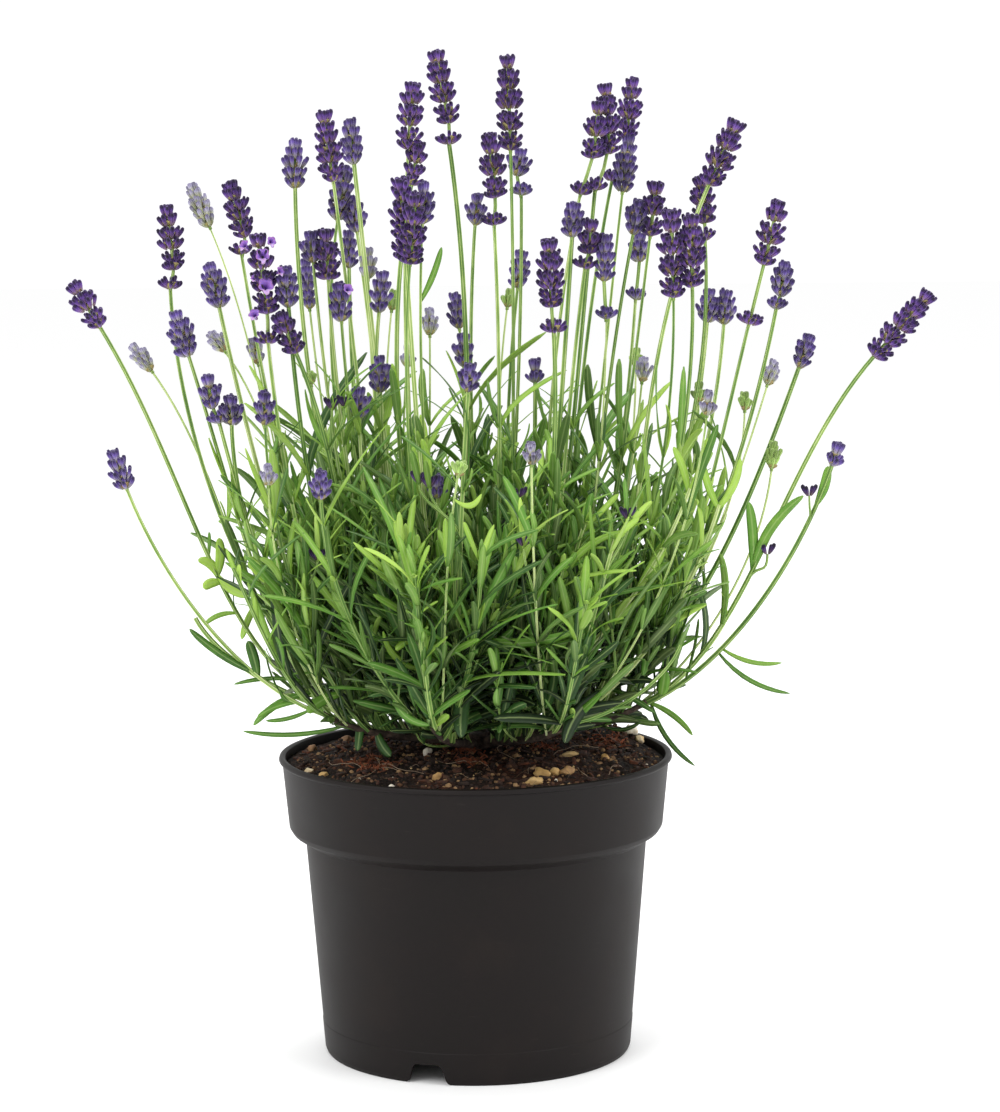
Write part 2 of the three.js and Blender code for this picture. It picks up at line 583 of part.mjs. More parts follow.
// The low branch that the stems of a bunch leave from carries leaves too.
function bunchBranch(bunch) {
  const path = branchPath(bunch);
  const stem = { bunch, path, end: path.getPointAt(1), nodes: [0.22, 0.52, 0.82], turn: 0.5 };
  return withSamples({ ...stem, arches: false, root: 1, head: null });
}

// Every stem of a bunch. The further out it ends, the further out it leaves the branch.
function bunchStems(bunch, heads) {
  const own = heads.filter((head) => head.bunch === bunch);
  const wanted = THREE.MathUtils.clamp(STEMS_WANTED - own.length, FEWEST_SHOOTS, MOST_SHOOTS);
  const flowering = own.map((head) => {
    const sunk = head.node ? -GAP : 1;
    const end = head.root.clone().addScaledVector(head.direction, sunk);
    return { end, direction: head.direction, head };
  });
  const stems = [...flowering, ...leafyShoots(bunch, wanted)];
  stems.sort((a, b) => Math.hypot(a.end.x, a.end.y) - Math.hypot(b.end.x, b.end.y));
  const branch = branchPath(bunch);
  const sideways = around(bunchAzimuth(bunch) + Math.PI / 2, 1, 0);
  return stems.map((stem, i) => {
    const lean = Math.sign(stem.end.dot(sideways));
    const start = branch.getPointAt(between(0.04, 0.97, i / (stems.length - 1)));
    start.addScaledVector(sideways, STEM_OFFSET * lean);
    const path = stemPath(start, stem.end, stem.direction);
    const seed = bunch * 40 + i;
    const first = between(0.1, 0.2, draw(seed, 11));
    const nodes = stem.head ? [i % 2 ? first : first * 0.8 + 0.3] : [first, first + 0.36, 0.93];
    const arches = stem.head !== null && Math.hypot(stem.end.x, stem.end.y) > ARCHING_FROM;
    const turn = draw(seed, 17) * 2 * Math.PI;
    return withSamples({ ...stem, bunch, path, nodes, arches, turn, root: STEM_ROOT });
  });
}

// Three corners around a stem. Seen from its tip they run anticlockwise.
function stemRing(stem, share, radius) {
  const centre = stem.path.getPointAt(share);
  const along = stem.path.getTangentAt(share);
  const reach = stem.end.clone().sub(stem.path.getPointAt(0));
  const level = new THREE.Vector3().crossVectors(reach, UP).normalize();
  const other = new THREE.Vector3().crossVectors(along, level).normalize();
  const side = new THREE.Vector3().crossVectors(other, along);
  return [0, 1, 2].map((corner) => {
    const angle = stem.turn + (corner * 2 * Math.PI) / 3;
    return centre.clone()
      .addScaledVector(side, Math.cos(angle) * radius)
      .addScaledVector(other, Math.sin(angle) * radius);
  });
}

// The shares of a stem's length where it has rings: two close together for each whorl
// of leaves, and others for its bends.
function ringShares(stem) {
  const shares = [0, ...stem.nodes.flatMap((node) => [node, node + NODE_HEIGHT / stem.length])];
  return stem.arches ? [...shares, 0.77, 1] : [...shares, 1];
}

// A stem with three flat sides. Where a leaf grows, the side between two close rings is
// drawn out into the blade: two edges and a keel, and then the tip.
function stemSolid(stem, radius, leaves) {
  const shares = ringShares(stem);
  const width = (share) => (share === 0 ? radius * stem.root : radius);
  const points = shares.flatMap((share) => stemRing(stem, share, width(share)));
  const faces = [[0, 2, 1]];
  for (let k = 0; k + 1 < shares.length; k++) {
    for (let i = 0; i < 3; i++) {
      const next = (i + 1) % 3;
      const [a, b, c, d] = [3 * k + i, 3 * k + next, 3 * k + 3 + next, 3 * k + 3 + i];
      const leaf = leaves.find((one) => one.share === shares[k] && one.side === i);
      if (!leaf) {
        faces.push([a, b, c], [a, c, d]);
        continue;
      }
      const left = points.length;
      const [right, keel, tip] = [left + 1, left + 2, left + 3];
      points.push(...leafPoints(leaf));
      faces.push([a, b, keel], [b, c, right], [keel, b, right], [c, d, left], [right, c, left]);
      faces.push([d, a, left], [left, a, keel]);
      faces.push([keel, right, tip], [right, left, tip], [left, keel, tip]);
    }
  }
  const last = 3 * (shares.length - 1);
  faces.push([last, last + 1, last + 2]);
  return solidFromPoints(points, faces);
}

// ---- Leaves ------------------------------------------------------------------------

function leafMiddle(leaf, share) {
  return leaf.base.clone()
    .addScaledVector(leaf.direction, leaf.length * share)
    .addScaledVector(UP, -leaf.droop * share * share);
}

// The blade's left and right edge and its keel where it is widest, and its tip.
function leafPoints(leaf) {
  const centre = leafMiddle(leaf, 0.45);
  const above = new THREE.Vector3().crossVectors(leaf.direction, leaf.across);
  return [
    centre.clone().addScaledVector(leaf.across, -LEAF_WIDTH / 2),
    centre.clone().addScaledVector(leaf.across, LEAF_WIDTH / 2),
    centre.clone().addScaledVector(above, -LEAF_KEEL),
    leafMiddle(leaf, 1),
  ];
}

// The leaf on one of a stem's three sides, at a share of its length.
function leafOn(stem, share, side, length) {
  const corners = stemRing(stem, share, STEM_RADIUS);
  const across = corners[(side + 1) % 3].clone().sub(corners[side]).normalize();
  const along = stem.path.getTangentAt(share);
  const outwards = new THREE.Vector3().crossVectors(across, along);
  const direction = along.clone().addScaledVector(outwards, LEAF_SPLAY).normalize();
  const base = stem.path.getPointAt(share);
  return { share, side, base, across, direction, length, droop: length * LEAF_DROOP };
}

function distanceToHead(point, head) {
  const nearest = new THREE.Vector3();
  new THREE.Line3(head.root, head.tip).closestPointToPoint(point, true, nearest);
  return nearest.distanceTo(point);
}

// A leaf stays inside its sector, above the rim, and clear of every flower head and of
// whatever has grown near it.
function leafIsClear(leaf, bunch, heads, growth) {
  const samples = [0.2, 0.35, 0.5, 0.65, 0.8, 1].map((share) => leafMiddle(leaf, share));
  return samples.every((point) => (
    roomInSector(point, bunch) > SECTOR_MARGIN + LEAF_WIDTH / 2
    && point.z > LEAVES_FROM
    && heads.every((head) => distanceToHead(point, head) > head.radius + HEAD_CLEARANCE)
    && growth.every((other) => other.distanceTo(point) > LEAF_CLEARANCE)
  ));
}

// The leaves of a stem that have room, at each of its whorls.
function stemLeaves(stem, seed, stems, heads, growth) {
  const others = stems.filter((other) => other !== stem).flatMap((other) => other.samples);
  const leaves = [];
  for (const node of stem.nodes) {
    for (let side = 0; side < 3; side++) {
      const size = between(SHORTEST_LEAF, LONGEST_LEAF, draw(seed + side, 20 + node * 10));
      const leaf = leafOn(stem, node, side, node > 0.85 ? size * 0.8 : size);
      if (!leafIsClear(leaf, stem.bunch, heads, [...others, ...growth])) continue;
      leaves.push(leaf);
      growth.push(...[0.2, 0.35, 0.5, 0.65, 0.8, 1].map((share) => leafMiddle(leaf, share)));
    }
  }
  return leaves;
}

// ---- Leafy bunches -----------------------------------------------------------------

function bunchSolid(bunch, stems, heads) {
  const own = stems.filter((stem) => stem.bunch === bunch);
  const branch = bunchBranch(bunch);
  const growth = [];
  const low = stemLeaves(branch, bunch * 40 + 39, own, heads, growth);
  const solids = [stemSolid(branch, BRANCH_RADIUS, low)];
  own.forEach((stem, i) => {
    const leaves = stemLeaves(stem, bunch * 40 + i, own, heads, growth);
    solids.push(stemSolid(stem, STEM_RADIUS, leaves));
    if (stem.head && !stem.head.node) solids.push(headSolid(stem.head));
  });
  return largestPiece(wasm.Manifold.union(solids).simplify(0.08));
}

function makeBunch(bunch, stems, heads) {
  const geometry = geometryFrom(bunchSolid(bunch, stems, heads));
  return piece(`leafy_bunch_${bunch + 1}`, geometry, leafGreen);
}

// Heads leave a way for each stem that passes them: a stouter copy of the stem.
function makeHeads(stems, heads) {
  const ways = wasm.Manifold.union(stems.map((stem) => stemSolid(stem, STEM_RADIUS + STEM_WAY, [])));
  const names = [...new Set(heads.map((head) => head.node).filter(Boolean))];
  return names.map((name) => {
    const members = heads.filter((head) => head.node === name).map(headSolid);
    const solid = wasm.Manifold.union(members).subtract(ways).simplify(0.08);
    return piece(name, geometryFrom(largestPiece(solid)), lavender);
  });
}

// ---- The whole plant ---------------------------------------------------------------

function makePlant() {
  const plant = new THREE.Group();
  const heads = HEADS.map(placeHead);
  const bunches = Array.from({ length: BUNCHES }, (_, bunch) => bunch);
  const stems = bunches.flatMap((bunch) => bunchStems(bunch, heads));
  plant.add(makePot(), makeSoil(), makeCrown());
  plant.add(...bunches.map((bunch) => makeBunch(bunch, stems, heads)));
  plant.add(...makeHeads(stems, heads));
  return plant;
}

export default makePlant();
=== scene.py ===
"""A potted lavender in flower: the looks of its pot, soil, leaves and flower heads.

Every size and place is in millimetres, +Z up from the surface that the pot stands on, with
-Y to the front. A finished mesh is scaled to metres as its last step.
"""

import math
import random

import bmesh
import bpy
from mathutils import Matrix, Vector, noise
from mathutils.geometry import interpolate_bezier


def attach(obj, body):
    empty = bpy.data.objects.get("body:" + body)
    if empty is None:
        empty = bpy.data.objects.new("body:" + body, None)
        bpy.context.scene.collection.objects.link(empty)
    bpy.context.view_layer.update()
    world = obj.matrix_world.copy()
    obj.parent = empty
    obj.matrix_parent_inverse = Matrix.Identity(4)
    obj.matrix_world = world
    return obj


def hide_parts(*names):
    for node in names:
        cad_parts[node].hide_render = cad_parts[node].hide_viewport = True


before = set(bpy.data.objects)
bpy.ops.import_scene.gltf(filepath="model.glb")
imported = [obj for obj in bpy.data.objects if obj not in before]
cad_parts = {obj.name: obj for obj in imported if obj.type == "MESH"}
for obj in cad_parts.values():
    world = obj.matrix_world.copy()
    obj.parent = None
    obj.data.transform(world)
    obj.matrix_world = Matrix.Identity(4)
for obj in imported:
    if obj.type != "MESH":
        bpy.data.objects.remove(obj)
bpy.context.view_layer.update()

MM = 0.001
ANY_TURN = 6.28                 # just under a full turn, in radians
UP = Vector((0, 0, 1))
FRONT = Vector((0, -1, 0))

# ---- Driving dimensions ----

POT_HEIGHT = 145
POT_WALL = 1.6
RIM_RADIUS = 95
COLLAR_TOP = 140
LIP_FOOT = 141.8                # the thin outer lip of the rim starts here
COLLAR_TOP_RADIUS = 93.3
COLLAR_FOOT = 110.6
COLLAR_FOOT_RADIUS = 90.3
WALL_TOP = 104.2
WALL_TOP_RADIUS = 82.5
BASE_RADIUS = 74.1
SEAM_HEIGHT = 15.5
SEAM_STEP = 0.2
FLOOR_UNDER = 10
CENTRE_FOOT_RADIUS = 24
DRAIN_RADIUS = 5
DRAIN_COUNT = 6
DRAIN_CIRCLE = 48
NOTCH_COUNT = 3
NOTCH_AZIMUTH = -108.8
NOTCH_FOOT_WIDTH = 22
NOTCH_TOP_WIDTH = 12.4
NOTCH_HEIGHT = 9.6
POT_STEPS = 168                 # flats round the pot
POT_ROUNDING = 0.35             # of the edges of its profile

SOIL_GAP = 0.4                  # between the soil and the pot
SOIL_EDGE = 140.4
SOIL_MOUND = 147
SOIL_CLODS = 2.4                # height of the clods in its surface
CALM_EDGE = 8                   # the surface is calmer this near to the pot
SOIL_HEAP = 8                   # height of the heap by the rim, at the right and behind
HEAP_SPOT = Vector((66, 48, 0))
HEAP_SPREAD = 19
CRUMBS, CHIPS, SMALL_STONES, ROOT_HAIRS = 3000, 330, 60, 50
FIBRES = 90                     # in each patch of torn bark
LITTER_REACH = 86               # no fibre lies further from the axis
SOIL_STEPS, SOIL_RINGS = 150, 56
ROOT_RADIUS, HAIR_RADIUS = 0.16, 0.1

TRUNK_RADIUS = 6
TRUNK_FOOT = 126
TRUNK_TOP = 154
LIMB_RISE = 12
LIMB_ROOT = 149
LIMB_END = 14
LIMB_RADIUS = 3.1

BUNCHES = 8
FIRST_SECTOR = 9
BRANCH_RADIUS = 2.2
BRANCH_REACH = 84
BRANCH_TOP = 172
STEM_OFFSET = 1                 # of a stem's foot, to the side of its branch
STEMS_WANTED = 13               # on each branch
BUSH_FOOT = 150
BUSH_TOP = 306
BUSH_FALL = 46                  # how much lower the bush is at its radius than on its axis
BUSH_RADIUS = 150
STEM_RADIUS = 1.2               # half the diagonal of a square stem
THIN_STEM_RADIUS = 0.65
LEAFY_REACH = (46, 146)         # how far out the leafy shoots of a branch end
LEAFY_HEIGHT = (0.76, 0.96)     # and how high, of the bush's height there
LEAFY_SPREAD = 16               # and how many degrees to either side
SIDE_SHOOTS = 2                 # on each stem, where there is room for them
SIDE_SHOOT_LENGTH = (38, 95)
LEAFY_STEP = (8, 13)            # between the whorls of a shoot, low down and at the top
FLOWER_STEM_STEP = (15, 38)     # and between those of a stem with a head
LEAF_LENGTH = (22, 46)
LEAF_WIDTH = (1.8, 3.6)         # of a very short leaf and of a long one,
LONG_LEAF = 42                  # which is this long
LOW_LEAVES = 205                # below this leaves get broader and hang out more
SOIL_CLEARANCE = (5, 18)        # of a leaf, near the axis and further out
LEFT_OUT = 0.68                 # the most leaves that are left out, of all at a place
LEAF_THICKNESS = 0.24           # half of it, at the edges

EYE_DISTANCE = 1600             # of the camera, from the pot's axis
EYE_HEIGHT = 444
DEEPEST = 130                   # depth at which a head leans the most
HEAD_LEAN = 0.35                # and how far it does, of its length

CALYX_WIDTH = 2.1
CALYX_LENGTH = 5.2
CALYX_STEPS = 5                 # rings of points along a calyx
WHORL_PITCH = 4.7
HEAD_CROWN = 4.8                # length of the tuft at a head's tip
RIPE_HEAD = 6.9                 # radius from which a head is ripe,
THIN_HEAD = 5.8                 # below which it stands on a thin stem
GREEN_HEAD = 4.8                # and below which it is still green
CLOSED_HEADS = {                # big heads whose calyces still point up
    "head_left_inner", "head_left_mid", "head_upper_left", "head_back_left", "heads_left_pair",
}

# The flower heads, in the order of the part's own list: its node, the tip (x, z) and foot
# (x, z) seen from the front in the plane of the axis, how far behind that plane it stands,
# its radius and, on some, the foot of a whorl that sits apart further down.
HEADS = [
    ("head_far_left", (-189, 372), (-177, 352), -10, 7),
    ("head_low_left", (-172, 292), (-166, 275), -50, 6.5),
    ("head_left_outer", (-144, 409), (-141, 379), 20, 7, (-143, 370)),
    ("head_left_dark", (-114, 420), (-107, 394), 35, 7, (-109, 386)),
    ("head_left_inner", (-124, 381), (-120, 361), 5, 7),
    ("head_left_mid", (-141, 358), (-135, 338), -25, 7),
    ("heads_in_bloom", (-101, 394), (-97, 358), -45, 7.5, (-97, 344)),
    ("heads_in_bloom", (-88, 379), (-87, 361), -45, 6.5),
    ("heads_in_bloom", (-92, 358), (-84, 339), -45, 7),
    ("head_slim_left", (-79, 382), (-77, 360), 70, 5),
    ("head_upper_left", (-83, 439), (-83, 417), 55, 7),
    ("head_tall_left", (-69, 452), (-65, 420), -5, 7),
    ("head_back_left", (-57, 448), (-55, 428), 45, 6.5),
    ("heads_left_pair", (-59, 426), (-63, 402), 75, 7),
    ("heads_left_pair", (-56, 411), (-54, 396), 75, 6.5),
    ("head_rear_left", (-58, 395), (-58, 379), 100, 6),
    ("heads_inner_left_pair", (-76, 395), (-75, 382), -20, 6.5),
    ("heads_inner_left_pair", (-69, 396), (-68, 374), -20, 7),
    ("head_left_short", (-63, 371), (-62, 354), -20, 6.5),
    ("head_inner_left", (-42, 376), (-44, 358), 25, 6.5),
    ("heads_tall_pair", (-27, 466), (-29, 435), -10, 7.5),
    ("heads_tall_pair", (-24, 438), (-28, 418), -10, 7),
    ("heads_front_trio", (-33, 421), (-31, 383), -70, 7.5),
    ("heads_front_trio", (-26, 413), (-29, 381), -78, 7),
    ("heads_front_trio", (-22, 418), (-23, 400), -70, 6.5),
    ("head_tallest", (-16, 480), (-10, 447), 25, 7.5, (-10, 437)),
    ("head_tall_middle", (18, 477), (19, 434), 10, 7.5),
    ("head_middle_front", (9, 442), (12, 412), -35, 7, (11, 399)),
    ("head_middle_short", (24, 433), (22, 422), 40, 6.5, (24, 413)),
    ("head_middle_back", (3, 412), (2, 399), 60, 6),
    ("head_middle_rear", (24, 385), (22, 369), 85, 6.5),
    ("head_middle_inner", (-8, 365), (-6, 350), 70, 6),
    ("head_middle_low", (-4, 346), (-4, 332), 30, 6),
    ("head_front_low", (-1, 332), (-2, 320), -95, 6),
    ("head_left_low", (-44, 336), (-44, 320), 0, 6.5),
    ("head_front_left", (-54, 321), (-54, 308), -20, 6.5),
    ("head_side_left", (-99, 319), (-99, 305), -60, 6),
    ("heads_side_pair", (-115, 317), (-115, 305), -30, 6.5),
    ("heads_side_pair", (-126, 327), (-124, 313), -30, 6.5, (-121, 306)),
    ("head_low_front", (-73, 281), (-73, 269), -105, 6),
    ("head_right_low", (30, 334), (30, 324), 20, 6),
    ("head_dark_front", (-17, 278), (-17, 269), -60, 6),
    ("head_front_tall", (37, 391), (38, 360), -65, 7.5, (39, 348)),
    ("heads_right_trio", (49, 408), (48, 393), -21, 6.5),
    ("heads_right_trio", (57, 400), (56, 385), -20, 7, (54, 378)),
    ("heads_right_trio", (64, 393), (63, 372), -22, 5.5, (64, 354)),
    ("heads_crossing_pair", (61, 455), (58, 430), 15, 7, (52, 413)),
    ("heads_crossing_pair", (64, 464), (66, 432), 20, 7, (59, 415)),
    ("heads_upper_pair", (77, 467), (74, 439), 50, 7, (67, 419)),
    ("heads_upper_pair", (75, 439), (72, 414), 45, 6.5),
    ("heads_inner_pair", (80, 409), (77, 394), 5, 6.5),
    ("heads_inner_pair", (88, 417), (85, 393), 5, 7),
    ("head_right_rear", (80, 393), (80, 381), 75, 6.5, (78, 363)),
    ("heads_right_pair", (95, 405), (96, 364), -50, 7.5),
    ("heads_right_pair", (104, 402), (105, 369), -50, 7.5),
    ("head_leaning_right", (126, 446), (113, 417), -20, 7.5),
    ("head_right_back", (109, 420), (111, 399), 50, 7, (111, 391)),
    ("head_right_outer", (146, 409), (139, 379), -20, 7.5, (132, 351)),
    ("head_right_mid", (149, 379), (147, 364), 30, 6.5, (145, 358)),
    ("heads_back_pair", (113, 366), (112, 352), 75, 6.5),
    ("heads_back_pair", (121, 366), (120, 351), 75, 6.5),
    ("head_right_side", (161, 344), (156, 330), 40, 6),
    ("head_far_right", (218, 364), (192, 335), -10, 7.5),
    ("head_low_right", (175, 292), (172, 283), -40, 6),
]
YOUNG_HEADS = [                  # the same of the heads that have no node
    ((-161, 342), (-153, 331), 45, 5), ((-132, 418), (-124, 399), 70, 5.5),
    ((-124, 348), (-118, 340), 90, 5), ((-104, 345), (-102, 334), 60, 5),
    ((-49, 387), (-49, 374), 65, 5), ((-37, 367), (-38, 359), 110, 4.5),
    ((18, 367), (17, 360), 105, 4), ((-20, 358), (-20, 347), 95, 5),
    ((-30, 341), (-31, 332), 45, 5), ((-98, 284), (-98, 276), -90, 5),
    ((-78, 329), (-77, 324), 40, 4.5), ((-6, 285), (-7, 280), -125, 4),
    ((28, 294), (28, 285), -115, 5), ((144, 332), (141, 322), 75, 5),
    ((113, 318), (112, 308), -80, 5), ((78, 338), (78, 331), 80, 4.5),
    ((82, 334), (81, 324), 40, 5), ((108, 322), (108, 314), 60, 4.5),
    ((130, 317), (130, 310), 40, 4.5), ((144, 293), (143, 282), 10, 4.5),
]

# ---- Small helpers ----


def draw(a, b):
    """A repeatable draw between 0 and 1, the same as the part's."""
    value = math.sin(a * 127.1 + b * 311.7) * 43758.5453
    return value - math.floor(value)


def between(low, high, share):
    return low + (high - low) * share


def held(value):
    """A value kept from 0 to 1."""
    return min(1, max(0, value))


def spoke(side, other, angle):
    """The direction at an angle from one side towards the other, which is square to it."""
    return side * math.cos(angle) + other * math.sin(angle)


def sides_of(axis):
    side = axis.orthogonal().normalized()
    return side, axis.cross(side)


def around(azimuth, radius, z):
    return Vector((math.cos(azimuth) * radius, math.sin(azimuth) * radius, z))


def linear(colour):
    """A hex colour as the linear values that a shader takes."""
    parts = [int(colour[i : i + 2], 16) / 255 for i in (1, 3, 5)]
    return (*[p / 12.92 if p <= 0.04045 else ((p + 0.055) / 1.055) ** 2.4 for p in parts], 1)


class Line:
    """A smooth line that is measured along its length."""

    def __init__(self, points):
        self.points = points
        self.marks = [0]
        for a, b in zip(points, points[1:]):
            self.marks.append(self.marks[-1] + (b - a).length)
        self.length = self.marks[-1]

    def leg(self, share):
        mark = held(share) * self.length
        low, high = 0, len(self.marks) - 1
        while high - low > 1:
            middle = (low + high) // 2
            low, high = (middle, high) if self.marks[middle] <= mark else (low, middle)
        return low, (mark - self.marks[low]) / max(self.marks[high] - self.marks[low], 1e-9)

    def at(self, share):
        low, part = self.leg(share)
        return self.points[low].lerp(self.points[low + 1], part)

    def along(self, share):
        low, _ = self.leg(share)
        return (self.points[low + 1] - self.points[low]).normalized()


def bezier(start, bend, arrive, end, steps=60):
    return Line(interpolate_bezier(start, bend, arrive, end, steps))


# ---- Making meshes ----


def new_mesh():
    """A mesh whose points know where they lie in their shape, and the shape's own tint."""
    bm = bmesh.new()
    bm.verts.layers.float_vector.new("place")
    bm.verts.layers.float.new("tint")
    return bm


def unit_tube(sides, steps):
    """A closed tube of radius 1 from height 0 to 1, to be bent into other shapes."""
    bm = bmesh.new()
    bmesh.ops.create_circle(bm, cap_ends=True, segments=sides, radius=1)
    end = bm.faces[:]
    for step in range(steps):
        grown = bmesh.ops.extrude_face_region(bm, geom=end)["geom"]
        if step:                # the first face stays as the foot's cap
            bmesh.ops.delete(bm, geom=end, context="FACES_ONLY")
        end = [part for part in grown if isinstance(part, bmesh.types.BMFace)]
        bmesh.ops.translate(bm, vec=UP / steps, verts=end[0].verts)
    bmesh.ops.recalc_face_normals(bm, faces=bm.faces)
    return as_shape(bm)


def unit_ball(subdivisions):
    bm = bmesh.new()
    bmesh.ops.create_icosphere(bm, subdivisions=subdivisions, radius=1)
    return as_shape(bm)


def unit_chip():
    """A flat block with its edges broken."""
    bm = bmesh.new()
    bmesh.ops.create_cube(bm, size=2)
    bmesh.ops.bevel(
        bm, geom=bm.edges[:], offset=0.35, affect="EDGES", segments=1, profile=0.5, material=-1
    )
    return as_shape(bm)


def as_shape(bm):
    """The mesh that add_copy takes."""
    shape = bpy.data.meshes.new("shape")
    bm.to_mesh(shape)
    bm.free()
    return shape


def add_copy(bm, shape, place, tint=0.0, finish=0):
    """Adds a copy of a shape to a mesh, with every point where place(point) puts it."""
    places = bm.verts.layers.float_vector["place"]
    tints = bm.verts.layers.float["tint"]
    first, first_face = len(bm.verts), len(bm.faces)
    bm.from_mesh(shape)
    bm.verts.ensure_lookup_table()
    for vertex in bm.verts[first:]:
        vertex[places] = vertex.co
        vertex[tints] = tint
        vertex.co = place(vertex.co)
    if finish:
        bm.faces.ensure_lookup_table()
        for face in bm.faces[first_face:]:
            face.material_index = finish


def make_piece(name, bm, finishes, smooth=True):
    """The finished mesh as an object in metres, attached to the root body."""
    bmesh.ops.scale(bm, vec=Vector((MM, MM, MM)), verts=bm.verts)
    mesh = bpy.data.meshes.new(name)
    bm.to_mesh(mesh)
    bm.free()
    for face in mesh.polygons:
        face.use_smooth = smooth
    for finish in finishes:
        mesh.materials.append(finish)
    made = bpy.data.objects.new(name, mesh)
    bpy.context.scene.collection.objects.link(made)
    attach(made, "root")
    return made


# ---- Materials ----


def add_node(tree, kind, inputs=None, stops=None, **settings):
    """Adds a node with its settings, its inputs (values or other sockets) and ramp stops."""
    made = tree.nodes.new("ShaderNode" + kind)
    for name, value in settings.items():
        setattr(made, name, value)
    for socket, value in (inputs or {}).items():
        if isinstance(value, bpy.types.NodeSocket):
            tree.links.new(value, made.inputs[socket])
        else:
            made.inputs[socket].default_value = value
    if stops:
        ramp = made.color_ramp.elements
        while len(ramp) < len(stops):
            ramp.new(1)
        for element, (position, colour) in zip(ramp, stops):
            element.position = position
            element.color = linear(colour)
    return made


class Finish:
    """A material in the making. Its methods add nodes and return what these put out."""

    def __init__(self, name, roughness, ior=1.5, levels=None):
        self.made = bpy.data.materials.new(name)
        self.made.use_nodes = True
        self.tree = self.made.node_tree
        self.shader = self.tree.nodes["Principled BSDF"]
        for socket, level in {"Roughness": roughness, "IOR": ior, **(levels or {})}.items():
            self.shader.inputs[socket].default_value = level
        self.where = add_node(self.tree, "TexCoord").outputs["Object"]

    def link(self, socket, output):
        self.tree.links.new(output, self.shader.inputs[socket])

    def noise(self, size, detail):
        """A noise pattern whose patches are so many millimetres wide."""
        inputs = {"Vector": self.where, "Scale": 1 / (size * MM), "Detail": detail}
        return add_node(self.tree, "TexNoise", inputs).outputs["Fac"]

    def tint(self):
        return add_node(self.tree, "Attribute", attribute_name="tint").outputs["Fac"]

    def place(self):
        """The x, y and z of a point in its own shape, before the shape was bent and placed."""
        stored = add_node(self.tree, "Attribute", attribute_name="place").outputs["Vector"]
        return add_node(self.tree, "SeparateXYZ", {0: stored}).outputs

    def remap(self, value, first, last, low, high):
        """A value moved from the range first to last into the range low to high."""
        inputs = {"Value": value, "From Min": first, "From Max": last, "To Min": low, "To Max": high}
        return add_node(self.tree, "MapRange", inputs).outputs[0]

    def math(self, operation, *values):
        return add_node(self.tree, "Math", dict(enumerate(values)), operation=operation).outputs[0]

    def varied_tint(self, size, detail, spread):
        """The shape's own tint, which a noise pattern takes up and down by a spread."""
        wave = self.remap(self.noise(size, detail), 0.3, 0.7, -spread, spread)
        return self.math("ADD", self.tint(), wave)

    def ramp(self, value, *stops):
        return add_node(self.tree, "ValToRGB", {"Fac": value}, stops).outputs[0]

    def mix(self, factor, under, over, blend="MIX"):
        inputs = {"Factor": factor, "A": under, "B": over}
        made = add_node(self.tree, "Mix", inputs, data_type="RGBA", blend_type=blend)
        return made.outputs["Result"]

    def bump(self, pattern, strength, height, invert=False):
        """Roughens the surface by a pattern, to a height in millimetres."""
        inputs = {"Height": pattern, "Strength": strength, "Distance": height * MM}
        self.link("Normal", add_node(self.tree, "Bump", inputs, invert=invert).outputs[0])


def moulded_polypropylene():
    """Black injection-moulded polypropylene: a soft sheen, a fine grain and pale rub marks."""
    look = Finish("moulded_polypropylene", 0.5, 1.49, {"Specular IOR Level": 0.2})
    dust = look.noise(40, 6)
    level = add_node(look.tree, "Mapping", {"Vector": look.where, "Scale": (60, 60, 900)})
    rubs = add_node(look.tree, "TexNoise", {"Vector": level.outputs[0], "Scale": 1, "Detail": 2})
    base = look.ramp(dust, (0.3, "#0e0908"), (0.55, "#110b0a"), (0.8, "#19120f"))
    marks = look.remap(rubs.outputs["Fac"], 0.71, 0.82, 0, 1)
    look.link("Base Color", look.mix(marks, base, linear("#25201d")))
    look.link("Roughness", look.remap(dust, 0, 1, 0.42, 0.62))
    look.bump(look.noise(0.6, 3), 0.25, 0.12)
    return look.made


def moist_peat():
    """Moist peat and composted bark: near black, with brown and rust-red patches."""
    look = Finish("moist_peat", 0.9, levels={"Specular IOR Level": 0.25})
    crumbs = add_node(look.tree, "TexVoronoi", {"Vector": look.where, "Scale": 1 / (1.8 * MM)})
    crumb = crumbs.outputs["Distance"]
    ground = look.ramp(
        look.noise(22, 5), (0.35, "#1a110c"), (0.5, "#2e1c12"), (0.6, "#452617"), (0.72, "#5a2e1b")
    )
    # painted shade: each crumb of the pattern is darker towards its edges, in the gaps that the bump
    # sinks between crumbs
    crumb_gap_shade = look.ramp(crumb, (0.0, "#ffffff"), (0.9, "#6a5f58"))
    look.link("Base Color", look.mix(1.0, ground, crumb_gap_shade, "MULTIPLY"))
    look.bump(crumb, 1, 1, invert=True)
    return look.made


def tinted(name, roughness, stops, spread, size, bump_height, bump_size):
    """A material whose colour follows each shape's own tint, varied by a noise pattern."""
    look = Finish(name, roughness)
    look.link("Base Color", look.ramp(look.varied_tint(size, 4, spread), *stops))
    look.bump(look.noise(bump_size, 3), 0.8, bump_height)
    return look.made


def crumbly_peat():
    """Crumbs of peat: near black to brown, with a few tan specks."""
    stops = [(0.1, "#1a100a"), (0.45, "#352116"), (0.75, "#5a3b26"), (0.97, "#9a7a55")]
    return tinted("crumbly_peat", 0.9, stops, 0.15, 3, 0.4, 0.5)


def bark_chip():
    """Torn pine bark: brown to rust-red, dull and fibrous."""
    stops = [(0.1, "#24150d"), (0.45, "#452718"), (0.7, "#6b3a22"), (0.95, "#8f4c2c")]
    return tinted("torn_pine_bark", 0.85, stops, 0.25, 3, 0.5, 0.7)


